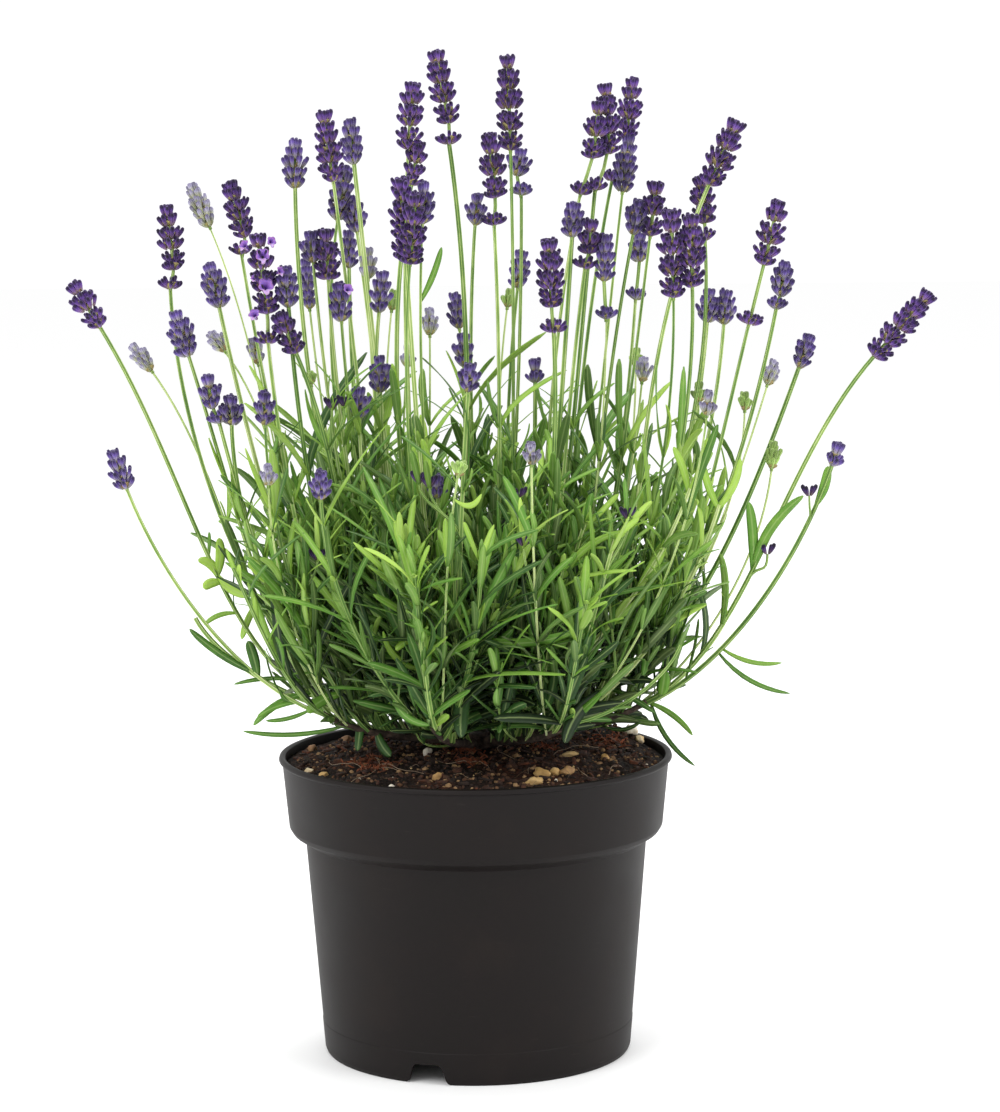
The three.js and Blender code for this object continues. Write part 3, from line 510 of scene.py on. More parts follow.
def river_grit():
    """Washed grit: cream, tan and pinkish stones with a dull, slightly pitted skin."""
    stops = [(0.1, "#8d6a4c"), (0.4, "#c39a5c"), (0.7, "#d9bb86"), (0.95, "#ece3d2")]
    return tinted("washed_grit", 0.75, stops, 0.12, 2, 0.15, 0.6)


def root_hair():
    """Fine dry roots: pale tan threads."""
    return tinted("dry_root", 0.8, [(0.2, "#5f4a38"), (0.9, "#a58f78")], 0.1, 4, 0.05, 0.5)


def shrub_bark():
    """Old lavender wood: grey-brown bark that is cracked along the grain."""
    stops = [(0.2, "#2e241c"), (0.5, "#54443a"), (0.85, "#7a6857")]
    return tinted("cracked_shrub_bark", 0.9, stops, 0.35, 4, 0.6, 1.4)


def brown_bract():
    """Dry bracts: tan with a green vein."""
    stops = [(0.1, "#8b8a4c"), (0.5, "#a39560"), (0.9, "#8d7350")]
    return tinted("dry_brown_bract", 0.8, stops, 0.2, 2, 0.1, 0.5)


def green_stem():
    """Young lavender stem: pale green, square, with a downy skin that dulls its shine."""
    look = Finish("downy_green_stem", 0.6, 1.4, {
        "Subsurface Weight": 0.25, "Subsurface Radius": (1.0, 1.0, 0.4), "Subsurface Scale": 0.8 * MM,
    })
    x, y, _ = look.place()
    across = add_node(look.tree, "CombineXYZ", {"X": x, "Y": y}).outputs[0]
    corner = add_node(look.tree, "VectorMath", {0: across}, operation="LENGTH").outputs["Value"]
    # painted light and shade: lighter along the corners, where the ridges would catch the light, and
    # darker mid-face, where a groove would lie in shade
    ridge_light_and_groove_shade = look.remap(corner, 0.7, 1, -0.42, 0.3)
    skin = look.ramp(
        look.math("ADD", look.varied_tint(18, 2, 0.2), ridge_light_and_groove_shade),
        (0.0, "#4f7233"), (0.35, "#7c9c4b"), (0.7, "#a8bd72"), (1.0, "#d0dba0"),
    )
    look.link("Base Color", skin)
    return look.made


def felted_leaf():
    """Lavender leaf: grey-green and felted, paler below, with a sunk midrib."""
    look = Finish("felted_leaf", 0.55, 1.45, {
        "Subsurface Weight": 0.15, "Subsurface Radius": (0.8, 1.0, 0.3),
        "Subsurface Scale": 0.8 * MM, "Specular IOR Level": 0.42,
    })
    x, y, _ = look.place()
    # the tint that this ramp reads carries painted shade and light: near black low in the bush,
    # yellow-green at its top and rim
    upper = look.ramp(
        look.varied_tint(9, 3, 0.06), (0.0, "#14280d"), (0.25, "#2d531c"), (0.55, "#5a8a2d"),
        (0.82, "#8bb142"), (1.0, "#a6c856"),
    )
    pale = look.mix(look.remap(y, 0.1, -0.4, 0, 0.3), upper, linear("#86a05c"))
    rib = look.remap(look.math("ABSOLUTE", x), 0, 0.22, 0.45, 0)
    look.link("Base Color", look.mix(rib, pale, linear("#a9bd7a")))
    look.bump(look.noise(0.5, 2), 0.35, 0.15)
    return look.made


def velvet_calyx(name, sheen, *stops):
    """Calyx felt: ribbed along its length in painted light and shade, coloured from foot to tip, and
    paler at its edges as a painted sheen.
    """
    look = Finish(name, 0.75, 1.4, {
        "Sheen Weight": 0.3, "Sheen Roughness": 0.35, "Sheen Tint": linear(sheen),
    })
    x, y, z = look.place()
    # painted light and shade: stripes round the calyx, lighter on its ribs and darker between them, as
    # light falls on ribs
    rib_light_and_shade = look.math("SINE", look.math("MULTIPLY", look.math("ARCTAN2", y, x), 6.0))
    # painted sheen: the felt is mixed toward the pale sheen colour where its surface turns away from the
    # view
    edge = add_node(look.tree, "LayerWeight", {"Blend": 0.35}).outputs["Facing"]
    felt_and_painted_sheen = look.mix(look.math("MULTIPLY", edge, 0.42), look.ramp(z, *stops), linear(sheen))
    light = look.remap(look.tint(), 0, 1, 0.4, 1.6)
    ribbed = look.math("MULTIPLY_ADD", rib_light_and_shade, 0.22, light)
    shade = add_node(look.tree, "CombineXYZ", {"X": ribbed, "Y": ribbed, "Z": ribbed}).outputs[0]
    look.link("Base Color", look.mix(1.0, felt_and_painted_sheen, shade, "MULTIPLY"))
    look.bump(look.noise(0.35, 2), 0.6, 0.15)
    return look.made


def purple_calyx():
    """Ripe calyces: violet sides and a nearly black tip."""
    return velvet_calyx(
        "purple_calyx_felt", "#8f74bd", (0.0, "#97866a"), (0.3, "#70527f"), (0.55, "#533580"),
        (0.72, "#271240"), (0.88, "#0b0412"),
    )


def ripening_calyx():
    """Calyces that are turning: tan-green feet, violet sides and dark tips."""
    return velvet_calyx(
        "ripening_calyx_felt", "#a294c9", (0.0, "#95996b"), (0.34, "#857c8e"), (0.6, "#58458a"),
        (0.82, "#2f1e53"), (1.0, "#140d25"),
    )


def young_calyx():
    """Unripe calyces: grey-green felt with violet tips."""
    return velvet_calyx(
        "young_calyx_felt", "#c4c0dc", (0.0, "#98a26b"), (0.4, "#9a9c7e"), (0.72, "#8a869c"),
        (1.0, "#4d4662"),
    )


def green_calyx():
    """Buds that have only just formed: plain yellow-green felt."""
    return velvet_calyx(
        "green_bud_felt", "#c8d8a0", (0.0, "#8fa65a"), (0.6, "#8aa856"), (1.0, "#6f8a44")
    )


def lilac_petal():
    """Open corolla: thin lilac petals, lightest at the lip and darker violet down in the throat as
    painted shade, and pale on the lowest lobe.
    """
    look = Finish("lilac_petal", 0.6, 1.4, {"Subsurface Weight": 0.2, "Subsurface Scale": 0.8 * MM})
    x, _, z = look.place()
    # painted shade: lightest at the lip, darkening down into the throat and along the tube
    petal = look.ramp(
        look.math("ADD", z, look.remap(look.noise(1.2, 2), 0, 1, -0.1, 0.1)),
        (0.0, "#4d3178"), (0.5, "#65439a"), (0.6, "#9571bd"), (0.72, "#7d55aa"), (0.9, "#4a2a78"),
    )
    look.link("Base Color", look.mix(look.remap(x, 0.45, 0.9, 0, 0.7), petal, linear("#d2b4dc")))
    return look.made


def white_paper():
    """Matt white paper."""
    levels = {"Base Color": linear("#f8f8f8"), "Specular IOR Level": 0.0}
    return Finish("white_paper", 0.9, levels=levels).made


# ---- The pot ----


def wall_radius(z):
    return between(BASE_RADIUS, WALL_TOP_RADIUS, z / WALL_TOP)


def pot_profile():
    floor_top = FLOOR_UNDER + POT_WALL
    skirt = BASE_RADIUS - 0.5
    return [
        (0, 0),
        (CENTRE_FOOT_RADIUS, 0),
        (CENTRE_FOOT_RADIUS + 3.5, FLOOR_UNDER),
        (wall_radius(FLOOR_UNDER) - POT_WALL, FLOOR_UNDER),
        (skirt - POT_WALL - 0.4, 0),
        (skirt, 0),
        (wall_radius(2) + SEAM_STEP, 2),
        (wall_radius(SEAM_HEIGHT) + SEAM_STEP, SEAM_HEIGHT - SEAM_STEP),
        (wall_radius(SEAM_HEIGHT), SEAM_HEIGHT),
        (WALL_TOP_RADIUS, WALL_TOP),
        (COLLAR_FOOT_RADIUS - 1.6, COLLAR_FOOT - 2.6),
        (COLLAR_FOOT_RADIUS, COLLAR_FOOT),
        (COLLAR_TOP_RADIUS, LIP_FOOT),
        (RIM_RADIUS - 0.6, LIP_FOOT + 0.4),
        (RIM_RADIUS, LIP_FOOT + 1.2),
        (RIM_RADIUS - 0.4, POT_HEIGHT - 0.5),
        (RIM_RADIUS - 1.6, POT_HEIGHT),
        (RIM_RADIUS - 3.2, POT_HEIGHT - 0.6),
        (COLLAR_TOP_RADIUS - POT_WALL, COLLAR_TOP),
        (COLLAR_FOOT_RADIUS - POT_WALL, COLLAR_FOOT + 0.6),
        (WALL_TOP_RADIUS - POT_WALL, WALL_TOP + 0.8),
        (wall_radius(floor_top + 2) - POT_WALL, floor_top + 2),
        (wall_radius(floor_top) - POT_WALL - 2, floor_top),
        (CENTRE_FOOT_RADIUS + 2, floor_top),
        (CENTRE_FOOT_RADIUS - 1.5, POT_WALL),
        (0, POT_WALL),
    ]


def spun(profile, steps, rounding=0.0):
    """A closed body of a profile that starts and ends on the axis, turned right round."""
    bm = bmesh.new()
    points = [bm.verts.new((radius, 0, z)) for radius, z in profile]
    for a, b in zip(points, points[1:]):
        bm.edges.new((a, b))
    if rounding:
        bmesh.ops.bevel(
            bm, geom=points[1:-1], offset=rounding, affect="VERTICES", segments=3, profile=0.5,
            material=-1,
        )
    bmesh.ops.spin(
        bm, geom=bm.verts[:] + bm.edges[:], cent=(0, 0, 0), axis=UP, angle=2 * math.pi,
        steps=steps, use_merge=True,
    )
    bmesh.ops.remove_doubles(bm, verts=bm.verts, dist=0.001)
    bmesh.ops.recalc_face_normals(bm, faces=bm.faces)
    return bm


def pot_openings():
    """One mesh of everything that is cut out of the pot: skirt notches and drain holes."""
    bm = bmesh.new()
    foot, top = NOTCH_FOOT_WIDTH / 2, NOTCH_TOP_WIDTH / 2
    half = [
        (foot + 1.6, -1), (foot, 0), (foot - 1.3, 1), (foot - 1.8, 2), (top + 1.5, 6.6),
        (top + 0.9, NOTCH_HEIGHT - 1.5), (top, NOTCH_HEIGHT - 0.5), (top - 1.1, NOTCH_HEIGHT),
    ]
    outline = half + [(-y, z) for y, z in reversed(half)]
    for i in range(NOTCH_COUNT):
        turn = Matrix.Rotation(math.radians(NOTCH_AZIMUTH + i * 360 / NOTCH_COUNT), 4, "Z")
        face = bm.faces.new([bm.verts.new((BASE_RADIUS - 10, y, z)) for y, z in outline])
        grown = bmesh.ops.extrude_face_region(bm, geom=[face])["geom"]
        far = [part for part in grown if isinstance(part, bmesh.types.BMVert)]
        bmesh.ops.translate(bm, vec=(20, 0, 0), verts=far)
        bmesh.ops.transform(bm, matrix=turn, verts=list(face.verts) + far)
    for i in range(DRAIN_COUNT):
        spot = around(i / DRAIN_COUNT * 2 * math.pi, DRAIN_CIRCLE, FLOOR_UNDER + POT_WALL / 2)
        bmesh.ops.create_cone(
            bm, cap_ends=True, segments=24, radius1=DRAIN_RADIUS, radius2=DRAIN_RADIUS, depth=6,
            matrix=Matrix.Translation(spot),
        )
    bmesh.ops.recalc_face_normals(bm, faces=bm.faces)
    return bm


def cut_openings(body, bm):
    """Cuts a mesh out of a piece, and leaves no modifier or cutter behind."""
    bmesh.ops.scale(bm, vec=Vector((MM, MM, MM)), verts=bm.verts)
    cutter = bpy.data.objects.new("cutter", as_shape(bm))
    bpy.context.scene.collection.objects.link(cutter)
    cut = body.modifiers.new("openings", "BOOLEAN")
    cut.operation = "DIFFERENCE"
    cut.solver = "EXACT"
    cut.object = cutter
    graph = bpy.context.evaluated_depsgraph_get()
    graph.update()
    mesh = bpy.data.meshes.new_from_object(body.evaluated_get(graph))
    body.modifiers.clear()
    body.data = mesh
    bpy.data.objects.remove(cutter)
    mesh.set_sharp_from_angle(angle=math.radians(35))


def make_pot():
    body = spun(pot_profile(), POT_STEPS, POT_ROUNDING)
    pot = make_piece("moulded_pot", body, [moulded_polypropylene()])
    cut_openings(pot, pot_openings())
    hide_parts("pot")


# ---- The soil ----


def soil_level(x, y):
    """Height of the soil's surface: a low mound, rough with clods."""
    radius = math.hypot(x, y)
    edge = COLLAR_TOP_RADIUS - POT_WALL
    mound = between(SOIL_EDGE, SOIL_MOUND, math.cos(min(radius / edge, 1) * math.pi / 2))
    spot = Vector((x, y, 0))
    clods = noise.fractal(spot / 9, 0.8, 2.1, 4) * 0.55 + noise.noise(spot / 26) * 0.6
    calm = held((edge - radius) / CALM_EDGE)
    heap = SOIL_HEAP * math.exp(-((spot - HEAP_SPOT).length / HEAP_SPREAD) ** 2)
    return mound + SOIL_CLODS * clods * (0.25 + 0.75 * calm) + heap * min(1, calm * 2)


def inside(radius):
    """The soil's radius where the pot's outside has this one."""
    return radius - POT_WALL - SOIL_GAP


def make_soil():
    floor, edge = FLOOR_UNDER + POT_WALL + SOIL_GAP, inside(COLLAR_TOP_RADIUS)
    top = [(edge * (1 - i / SOIL_RINGS), SOIL_EDGE) for i in range(SOIL_RINGS + 1)]
    profile = [
        (0, POT_WALL + SOIL_GAP),
        (CENTRE_FOOT_RADIUS - 2, POT_WALL + SOIL_GAP),
        (CENTRE_FOOT_RADIUS + 1.5, floor),
        (inside(wall_radius(floor)) - 2.2, floor),
        (inside(wall_radius(floor + 2.4)), floor + 2.4),
        (inside(WALL_TOP_RADIUS), WALL_TOP + 1.2),
        (inside(COLLAR_FOOT_RADIUS), COLLAR_FOOT + 1),
        *top,
    ]
    bm = spun(profile, SOIL_STEPS)
    for vertex in bm.verts:
        if vertex.co.z > SOIL_EDGE - 0.1:
            vertex.co.z = soil_level(vertex.co.x, vertex.co.y)
    soil = make_piece("potting_soil", bm, [moist_peat()])
    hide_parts("soil")


def lump(size, spot, seed, turn, wobble=0.35):
    """A place function: a rough lump of three sizes around a spot."""
    shift = Vector((seed * 3.1, seed * 1.7, seed * 0.9))

    def place(point):
        swell = 1 + wobble * noise.noise(point * 1.3 + shift)
        return spot + turn @ Vector((point.x * size[0], point.y * size[1], point.z * size[2])) * swell

    return place


def turn_about(axis, rng, low=0, high=ANY_TURN):
    return Matrix.Rotation(rng.uniform(low, high), 3, axis)


def random_turn(rng):
    return turn_about("X", rng) @ turn_about("Z", rng)


def lying(rng, tilt):
    """A turn for something flat that lies nearly level."""
    return turn_about("Z", rng) @ turn_about("Y", rng, -tilt, tilt)


def soil_spot(rng, near=88):
    radius, azimuth = near * math.sqrt(rng.uniform(0.02, 1)), rng.uniform(0, 2 * math.pi)
    x, y = math.cos(azimuth) * radius, math.sin(azimuth) * radius
    return Vector((x, y, soil_level(x, y)))


def strand(start, heading, length, radius, sag, rng):
    """A place function for a thread that lies on the soil, with a gentle wander."""
    side = heading.cross(UP).normalized()
    sway, phase = rng.uniform(0.05, 0.16) * length, rng.uniform(0, ANY_TURN)

    def place(point):
        share = point.z
        wander = math.sin(share * 5 + phase) - math.sin(phase)
        spot = start + heading * length * share + side * sway * wander
        lift = sag * math.sin(share * math.pi)
        spot.z = soil_level(spot.x, spot.y) + 0.3 + lift
        spot += side * point.x * radius
        return spot + UP * point.y * radius

    return place


STONES = [                       # x, y on the soil, half sizes, tint
    (27, -68, (4.0, 2.6, 2.4), 0.55), (31, -56, (5.0, 2.6, 3.0), 0.42),
    (37, -54, (3.0, 2.2, 2.6), 0.5), (43, -52, (4.6, 2.6, 2.2), 0.2), (46, -10, (3.6, 2.0, 1.6), 0.6),
    (62, -17, (2.2, 1.8, 2.0), 0.4), (-23, -13, (2.3, 2.0, 2.8), 1.0),
    (-39, -69, (1.4, 1.2, 1.4), 1.0), (-18, -63, (2.3, 1.8, 2.2), 0.3),
    (77, 40, (3.4, 2.6, 2.6), 0.9), (81, 33, (2.2, 2.0, 2.0), 0.75),
    (-80, 26, (2.4, 2.2, 2.2), 0.1), (-72, -38, (2.8, 1.6, 1.4), 0.5), (-79, -29, (2.0, 1.4, 1.2), 0.8),
    (-64, 48, (2.8, 2.4, 1.8), 0.0), (20, 78, (4.2, 3.2, 2.8), 0.5), (-20, 70, (2.8, 2.4, 2.2), 0.4),
]
FIBRE_PATCHES = [                # x, y, spread of the rust-red bark fibres
    (-54, -20, 9), (-46, -34, 8), (-6, -8, 9), (-2, -34, 8), (66, 24, 9), (34, 4, 8), (10, 62, 12),
    (-50, 40, 10),
]
ROOTS = [                        # x, y of both ends of each loose root, and how high it arches
    (-61, -68, -49, -14, 1.5), (-49, -14, -24, -52, 2), (-55, -30, -33, -44, 1), (-28, 34, -25, -6, 5),
    (12, 6, 24, -26, 2), (47, -36, 57, -58, 1.5), (60, 10, 40, -12, 1), (-14, -40, 8, -50, 1),
    (-70, -10, -58, -34, 1), (70, -30, 62, -48, 1), (-30, 60, 4, 70, 2), (44, 56, 66, 30, 2),
]


def make_crumbs(rng):
    bm, ball = new_mesh(), unit_ball(1)
    for i in range(CRUMBS):
        size = rng.uniform(0.4, 1.9) * rng.choice((0.5, 0.7, 1.0))
        sizes = (size, size * rng.uniform(0.6, 1), size * rng.uniform(0.5, 0.9))
        spot = soil_spot(rng)
        add_copy(bm, ball, lump(sizes, spot, i, random_turn(rng)), rng.random())
    make_piece("peat_crumbs", bm, [crumbly_peat()], smooth=False)


def make_bark_chips(rng):
    """Loose chips everywhere, and patches of rust-red fibres."""
    bm, chip, fibre = new_mesh(), unit_chip(), unit_ball(1)
    for i in range(CHIPS):
        long = rng.uniform(1.0, 3.6)
        sizes = (long, long * rng.uniform(0.25, 0.55), rng.uniform(0.4, 0.9))
        flat = lying(rng, 0.6)
        spot = soil_spot(rng) + UP * rng.uniform(0, 0.8)
        add_copy(bm, chip, lump(sizes, spot, i, flat, 0.2), rng.uniform(0, 0.55))
    for x, y, spread in FIBRE_PATCHES:
        for i in range(FIBRES):
            spot = Vector((rng.gauss(x, spread / 2), rng.gauss(y, spread / 2), 0))
            if spot.length > LITTER_REACH:
                continue
            spot.z = soil_level(spot.x, spot.y) + rng.uniform(0, 1.6)
            sizes = (rng.uniform(0.8, 2.8), rng.uniform(0.2, 0.5), rng.uniform(0.2, 0.5))
            add_copy(bm, fibre, lump(sizes, spot, i, lying(rng, 0.9), 0.3), rng.uniform(0.55, 1))
    make_piece("bark_chips", bm, [bark_chip()], smooth=False)


def make_grit(rng):
    """The stones that the photo shows, guesses for those behind, and small ones anywhere."""
    bm, ball, small_ball = new_mesh(), unit_ball(3), unit_ball(1)
    for i, (x, y, sizes, tint) in enumerate(STONES):
        spot = Vector((x, y, soil_level(x, y) + sizes[2] * 0.45))
        flat = Matrix.Rotation(i * 2.4, 3, "Z")
        add_copy(bm, ball, lump(sizes, spot, i + 5, flat, 0.5), tint)
    for i in range(SMALL_STONES):
        sizes = [rng.uniform(0.4, 1.1)] * 3
        add_copy(bm, small_ball, lump(sizes, soil_spot(rng), i, random_turn(rng)), rng.random())
    make_piece("grit_stones", bm, [river_grit()])


def make_roots(rng):
    bm, thread = new_mesh(), unit_tube(4, 10)
    for x, y, end_x, end_y, arch in ROOTS:
        start, end = Vector((x, y, 0)), Vector((end_x, end_y, 0))
        way = end - start
        place = strand(start, way.normalized(), way.length, ROOT_RADIUS, arch, rng)
        add_copy(bm, thread, place, rng.uniform(0.5, 1))
    for _ in range(ROOT_HAIRS):
        start = soil_spot(rng, 78)
        heading = around(rng.uniform(0, ANY_TURN), 1, 0)
        place = strand(start, heading, rng.uniform(3, 9), HAIR_RADIUS, rng.uniform(0, 2), rng)
        add_copy(bm, thread, place, rng.uniform(0, 0.8))
    make_piece("root_hairs", bm, [root_hair()])


def make_litter():
    """What lies on the soil: crumbs, bark, grit and fine roots."""
    rng = random.Random(41)
    for make in (make_crumbs, make_bark_chips, make_grit, make_roots):
        make(rng)


# ---- The layout of the plant, as in the part ----


def bunch_azimuth(bunch):
    return math.radians(FIRST_SECTOR + (bunch + 0.5) * 360 / BUNCHES)


def bunch_of(point):
    turn = math.atan2(point.y, point.x) - math.radians(FIRST_SECTOR)
    return int((turn / (2 * math.pi) + 1) % 1 * BUNCHES)


def limb_point(bunch, reach):
    """A point on a bunch's woody limb, at a distance from the axis."""
    return around(bunch_azimuth(bunch), reach, LIMB_ROOT + reach * math.tan(math.radians(LIMB_RISE)))


def branch_line(bunch):
    azimuth = bunch_azimuth(bunch)
    return bezier(
        limb_point(bunch, LIMB_END), limb_point(bunch, LIMB_END + 16),
        around(azimuth, BRANCH_REACH - 20, BRANCH_TOP - 14), around(azimuth, BRANCH_REACH, BRANCH_TOP),
    )


def at_depth(seen, depth):
    """The point so far behind the axis that is seen at an x and z of the plane of the axis."""
    grow = 1 + depth / EYE_DISTANCE
    return Vector((seen[0] * grow, depth, EYE_HEIGHT + (seen[1] - EYE_HEIGHT) * grow))


class Head:
    """A flower head: its foot and tip in space, and the foot of its lowest whorl."""

    def __init__(self, node, tip, foot, depth, radius, low=None):
        lean = math.dist(tip, foot) * HEAD_LEAN * depth / DEEPEST
        self.node, self.radius, self.apart = node, radius, low is not None
        self.foot, self.tip = at_depth(foot, depth), at_depth(tip, depth + lean)
        self.root = at_depth(low, depth - lean * 0.3) if low else self.foot
        self.direction = (self.tip - self.root).normalized()
        self.bunch = bunch_of(self.root)


def stem_line(start, end, direction):
    level = Vector((end.x - start.x, end.y - start.y, 0))
    rise = end.z - start.z
    bend = start + level * 0.45 + UP * rise * 0.14
    return bezier(start, bend, end - direction * 0.42 * rise, end)


def bush_height(radius):
    return BUSH_TOP - BUSH_FALL * (radius / BUSH_RADIUS) ** 2


class Stem:
    """A stem of a bunch; one without a head is a leafy shoot."""

    def __init__(self, line, head, radius):
        self.line, self.head, self.radius = line, head, radius


def leafy_ends(bunch, count):
    """Where the shoots without a head end, and in which direction."""
    ends = []
    for i in range(count):
        seed = bunch * 10 + i
        turn = math.radians(between(-LEAFY_SPREAD, LEAFY_SPREAD, (0.5 + i * 0.618) % 1))
        radius = between(*LEAFY_REACH, (i + draw(seed, 5)) / count)
        height = bush_height(radius) * between(*LEAFY_HEIGHT, draw(seed, 7))
        end = around(bunch_azimuth(bunch) + turn, radius, height)
        ends.append((end, Vector((end.x, end.y, 2 * radius)).normalized(), None))
    return ends


def bunch_stems(bunch, heads):
    """The stems of one bunch: one to each of its heads, and the leafy shoots."""
    own = [head for head in heads if head.bunch == bunch]
    wanted = min(max(STEMS_WANTED - len(own), 3), 8)
    ends = [(head.root + head.direction, head.direction, head) for head in own]
    ends += leafy_ends(bunch, wanted)
    ends.sort(key=lambda item: item[0].xy.length)
    branch = branch_line(bunch)
    sideways = around(bunch_azimuth(bunch) + math.pi / 2, 1, 0)
    stems = []
    for i, (end, direction, head) in enumerate(ends):
        start = branch.at(between(0.04, 0.97, i / (len(ends) - 1)))
        start = start + sideways * math.copysign(STEM_OFFSET, end.dot(sideways))
        thin = head is not None and head.radius < THIN_HEAD
        radius = THIN_STEM_RADIUS if thin else STEM_RADIUS * between(0.8, 1.2, draw(bunch, i))
        stems.append(Stem(stem_line(start, end, direction), head, radius))
    return stems


# ---- Stems and leaves ----


def frame_at(line, share):
    """Two directions across a line, the same way up all along it."""
    along = line.along(share)
    reach = line.points[-1] - line.points[0]
    level = reach.cross(UP).normalized()
    other = along.cross(level).normalized()
    return along, other.cross(along), other


def along_line(line, radius, taper=1.0, turn=0.0):
    """A place function: a tube that follows a line."""
    frames = {}

    def place(point):
        share = point.z
        if share not in frames:
            frames[share] = (line.at(share), *frame_at(line, share)[1:])
        centre, side, other = frames[share]
        wide = radius * between(1, taper, share)
        x = point.x * math.cos(turn) - point.y * math.sin(turn)
        y = point.x * math.sin(turn) + point.y * math.cos(turn)
        return centre + side * x * wide + other * y * wide

    return place


class Leaf:
    """A narrow blade with a sunk midrib, from a stem outwards."""

    def __init__(self, base, along, outwards, splay, length, width, curl, droop, twist):
        self.base, self.length, self.width = base, length, width
        self.across = along.cross(outwards).normalized()
        outwards = self.across.cross(along)
        self.direction = spoke(along, outwards, splay)
        self.above = self.direction.cross(self.across)
        self.bend = outwards * curl - UP * droop
        self.twist, self.bow = twist, Vector()

    def middle(self, share):
        straight = self.base + (self.direction * share + self.bend * share * share) * self.length
        return straight + self.bow * share * (1 - share)

    def half_width(self, share):
        swell = between(0.5, 1, math.sin(min(share / 0.5, 1) * math.pi / 2))
        return self.width / 2 * swell * math.sqrt(1.05 - max(0, share / 0.5 - 1) ** 4)

    def place(self, point):
        share = 1 - max(0, 1 - point.z) ** 1.4
        wide = self.half_width(share)
        turn = self.twist * share
        across = spoke(self.across, self.above, turn)
        above = spoke(self.above, -self.across, turn)
        edge = point.x / math.cos(math.pi / 6)
        thick = math.copysign(LEAF_THICKNESS, point.y)
        if abs(edge) < 0.1:
            thick = thick * 1.5 - wide * 0.5
        return self.middle(share) + across * edge * wide + above * thick


def leaf_shape(steps=7):
    """A six-sided tube turned so that it has an upper and a lower middle line."""
    shape = unit_tube(6, steps)
    shape.transform(Matrix.Rotation(math.pi / 6, 4, "Z"))
    return shape


DEEP_FROM = 185                  # from here up leaves reach further to the front and back
DEPTH_SHARE = 0.74               # their reach to the sides, of that to the front and back
BUSH_OUTLINE = [                 # height, and how far to the sides leaves reach there
    (140, 80), (152, 86), (166, 95), (178, 104), (190, 110), (215, 116), (240, 124), (262, 131),
    (330, 136),
]


def bush_reach(z):
    """How far to the sides leaves reach at a height."""
    for (low, near), (high, far) in zip(BUSH_OUTLINE, BUSH_OUTLINE[1:]):
        if z < high:
            return between(near, far, (z - low) / (high - low))
    return far


def fits(point, slack=1.0):
    """Whether a leaf may reach a point: inside the bush, and clear of the soil, over which
    leaves stay higher further out and to the front."""
    radius = point.xy.length
    clear = between(*SOIL_CLEARANCE, min(1, radius / 60)) + 9 * max(0, -point.y / 80)
    return radius < bush_reach(point.z) * slack and point.z > soil_level(point.x, point.y) + clear


def loose(tip):
    """Whether a leaf is left out: many are, low down at the left and right of the bush."""
    side, low = held((abs(tip.x) - 45) / 40), held((225 - tip.z) / 35)
    return draw(tip.x, tip.y) < LEFT_OUT * side * low


def drawn_in(point):
    """A point with its depth drawn in: above its foot the bush is deeper than it is wide."""
    share = between(1, DEPTH_SHARE, held((point.z - DEEP_FROM) / 30))
    return Vector((point.x, point.y * share, point.z))


def add_leaf(bm, shape, leaf, tint, slack):
    """Adds a leaf where there is room for it, with painted light that makes it lighter at the rim of the
    bush.
    """
    tip, middle = leaf.middle(1), leaf.middle(0.6)
    if fits(drawn_in(tip), slack) and fits(drawn_in(middle), slack) and not loose(tip):
        # painted light: the further out towards the rim of the bush, the lighter the leaf's tint
        rim = min(1, tip.xy.length / 120)
        add_copy(bm, shape, leaf.place, tint + 0.22 * rim**3)


def add_whorl(bm, shape, line, share, size, rng, turn, tint):
    """A pair of leaves and, in their axils, a few smaller ones."""
    along, side, other = frame_at(line, share)
    spot = line.at(share)
    low = held((LOW_LEAVES - spot.z) / 45)
    slack = 1 + rng.uniform(-0.06, 0.06) * (1 + 1.5 * low)
    for i in range(2):
        angle = turn + i * math.pi + rng.uniform(-0.3, 0.3)
        outwards = spoke(side, other, angle)
        length = size * rng.uniform(0.75, 1.2)
        width = between(*LEAF_WIDTH, min(1, length / LONG_LEAF)) * rng.uniform(0.8, 1.15)
        width *= between(1, 1.3, low)
        curl = rng.uniform(-0.2, 0.45) if rng.random() < 0.5 else rng.uniform(-0.75, 1.05)
        leaf = Leaf(
            spot, along, outwards, rng.uniform(0.15, 0.65) * between(1, 1.8, low), length, width,
            curl, rng.uniform(-0.05, between(0.16, 0.5, low)), rng.uniform(-0.9, 0.9),
        )
        add_leaf(bm, shape, leaf, tint + rng.uniform(-0.33, 0.33), slack)
    for _ in range(rng.choice((0, 1, 2))):
        angle = turn + rng.uniform(-0.7, 0.7) + rng.choice((0, math.pi))
        outwards = spoke(side, other, angle)
        length = size * rng.uniform(0.25, 0.6)
        leaf = Leaf(
            spot, along, outwards, rng.uniform(0.2, 0.9), length, rng.uniform(1.5, 2.4),
            rng.uniform(-0.4, 0.4), rng.uniform(-0.1, 0.2), rng.uniform(-0.5, 0.5),
        )
        add_leaf(bm, shape, leaf, tint + rng.uniform(0, 0.35), slack)


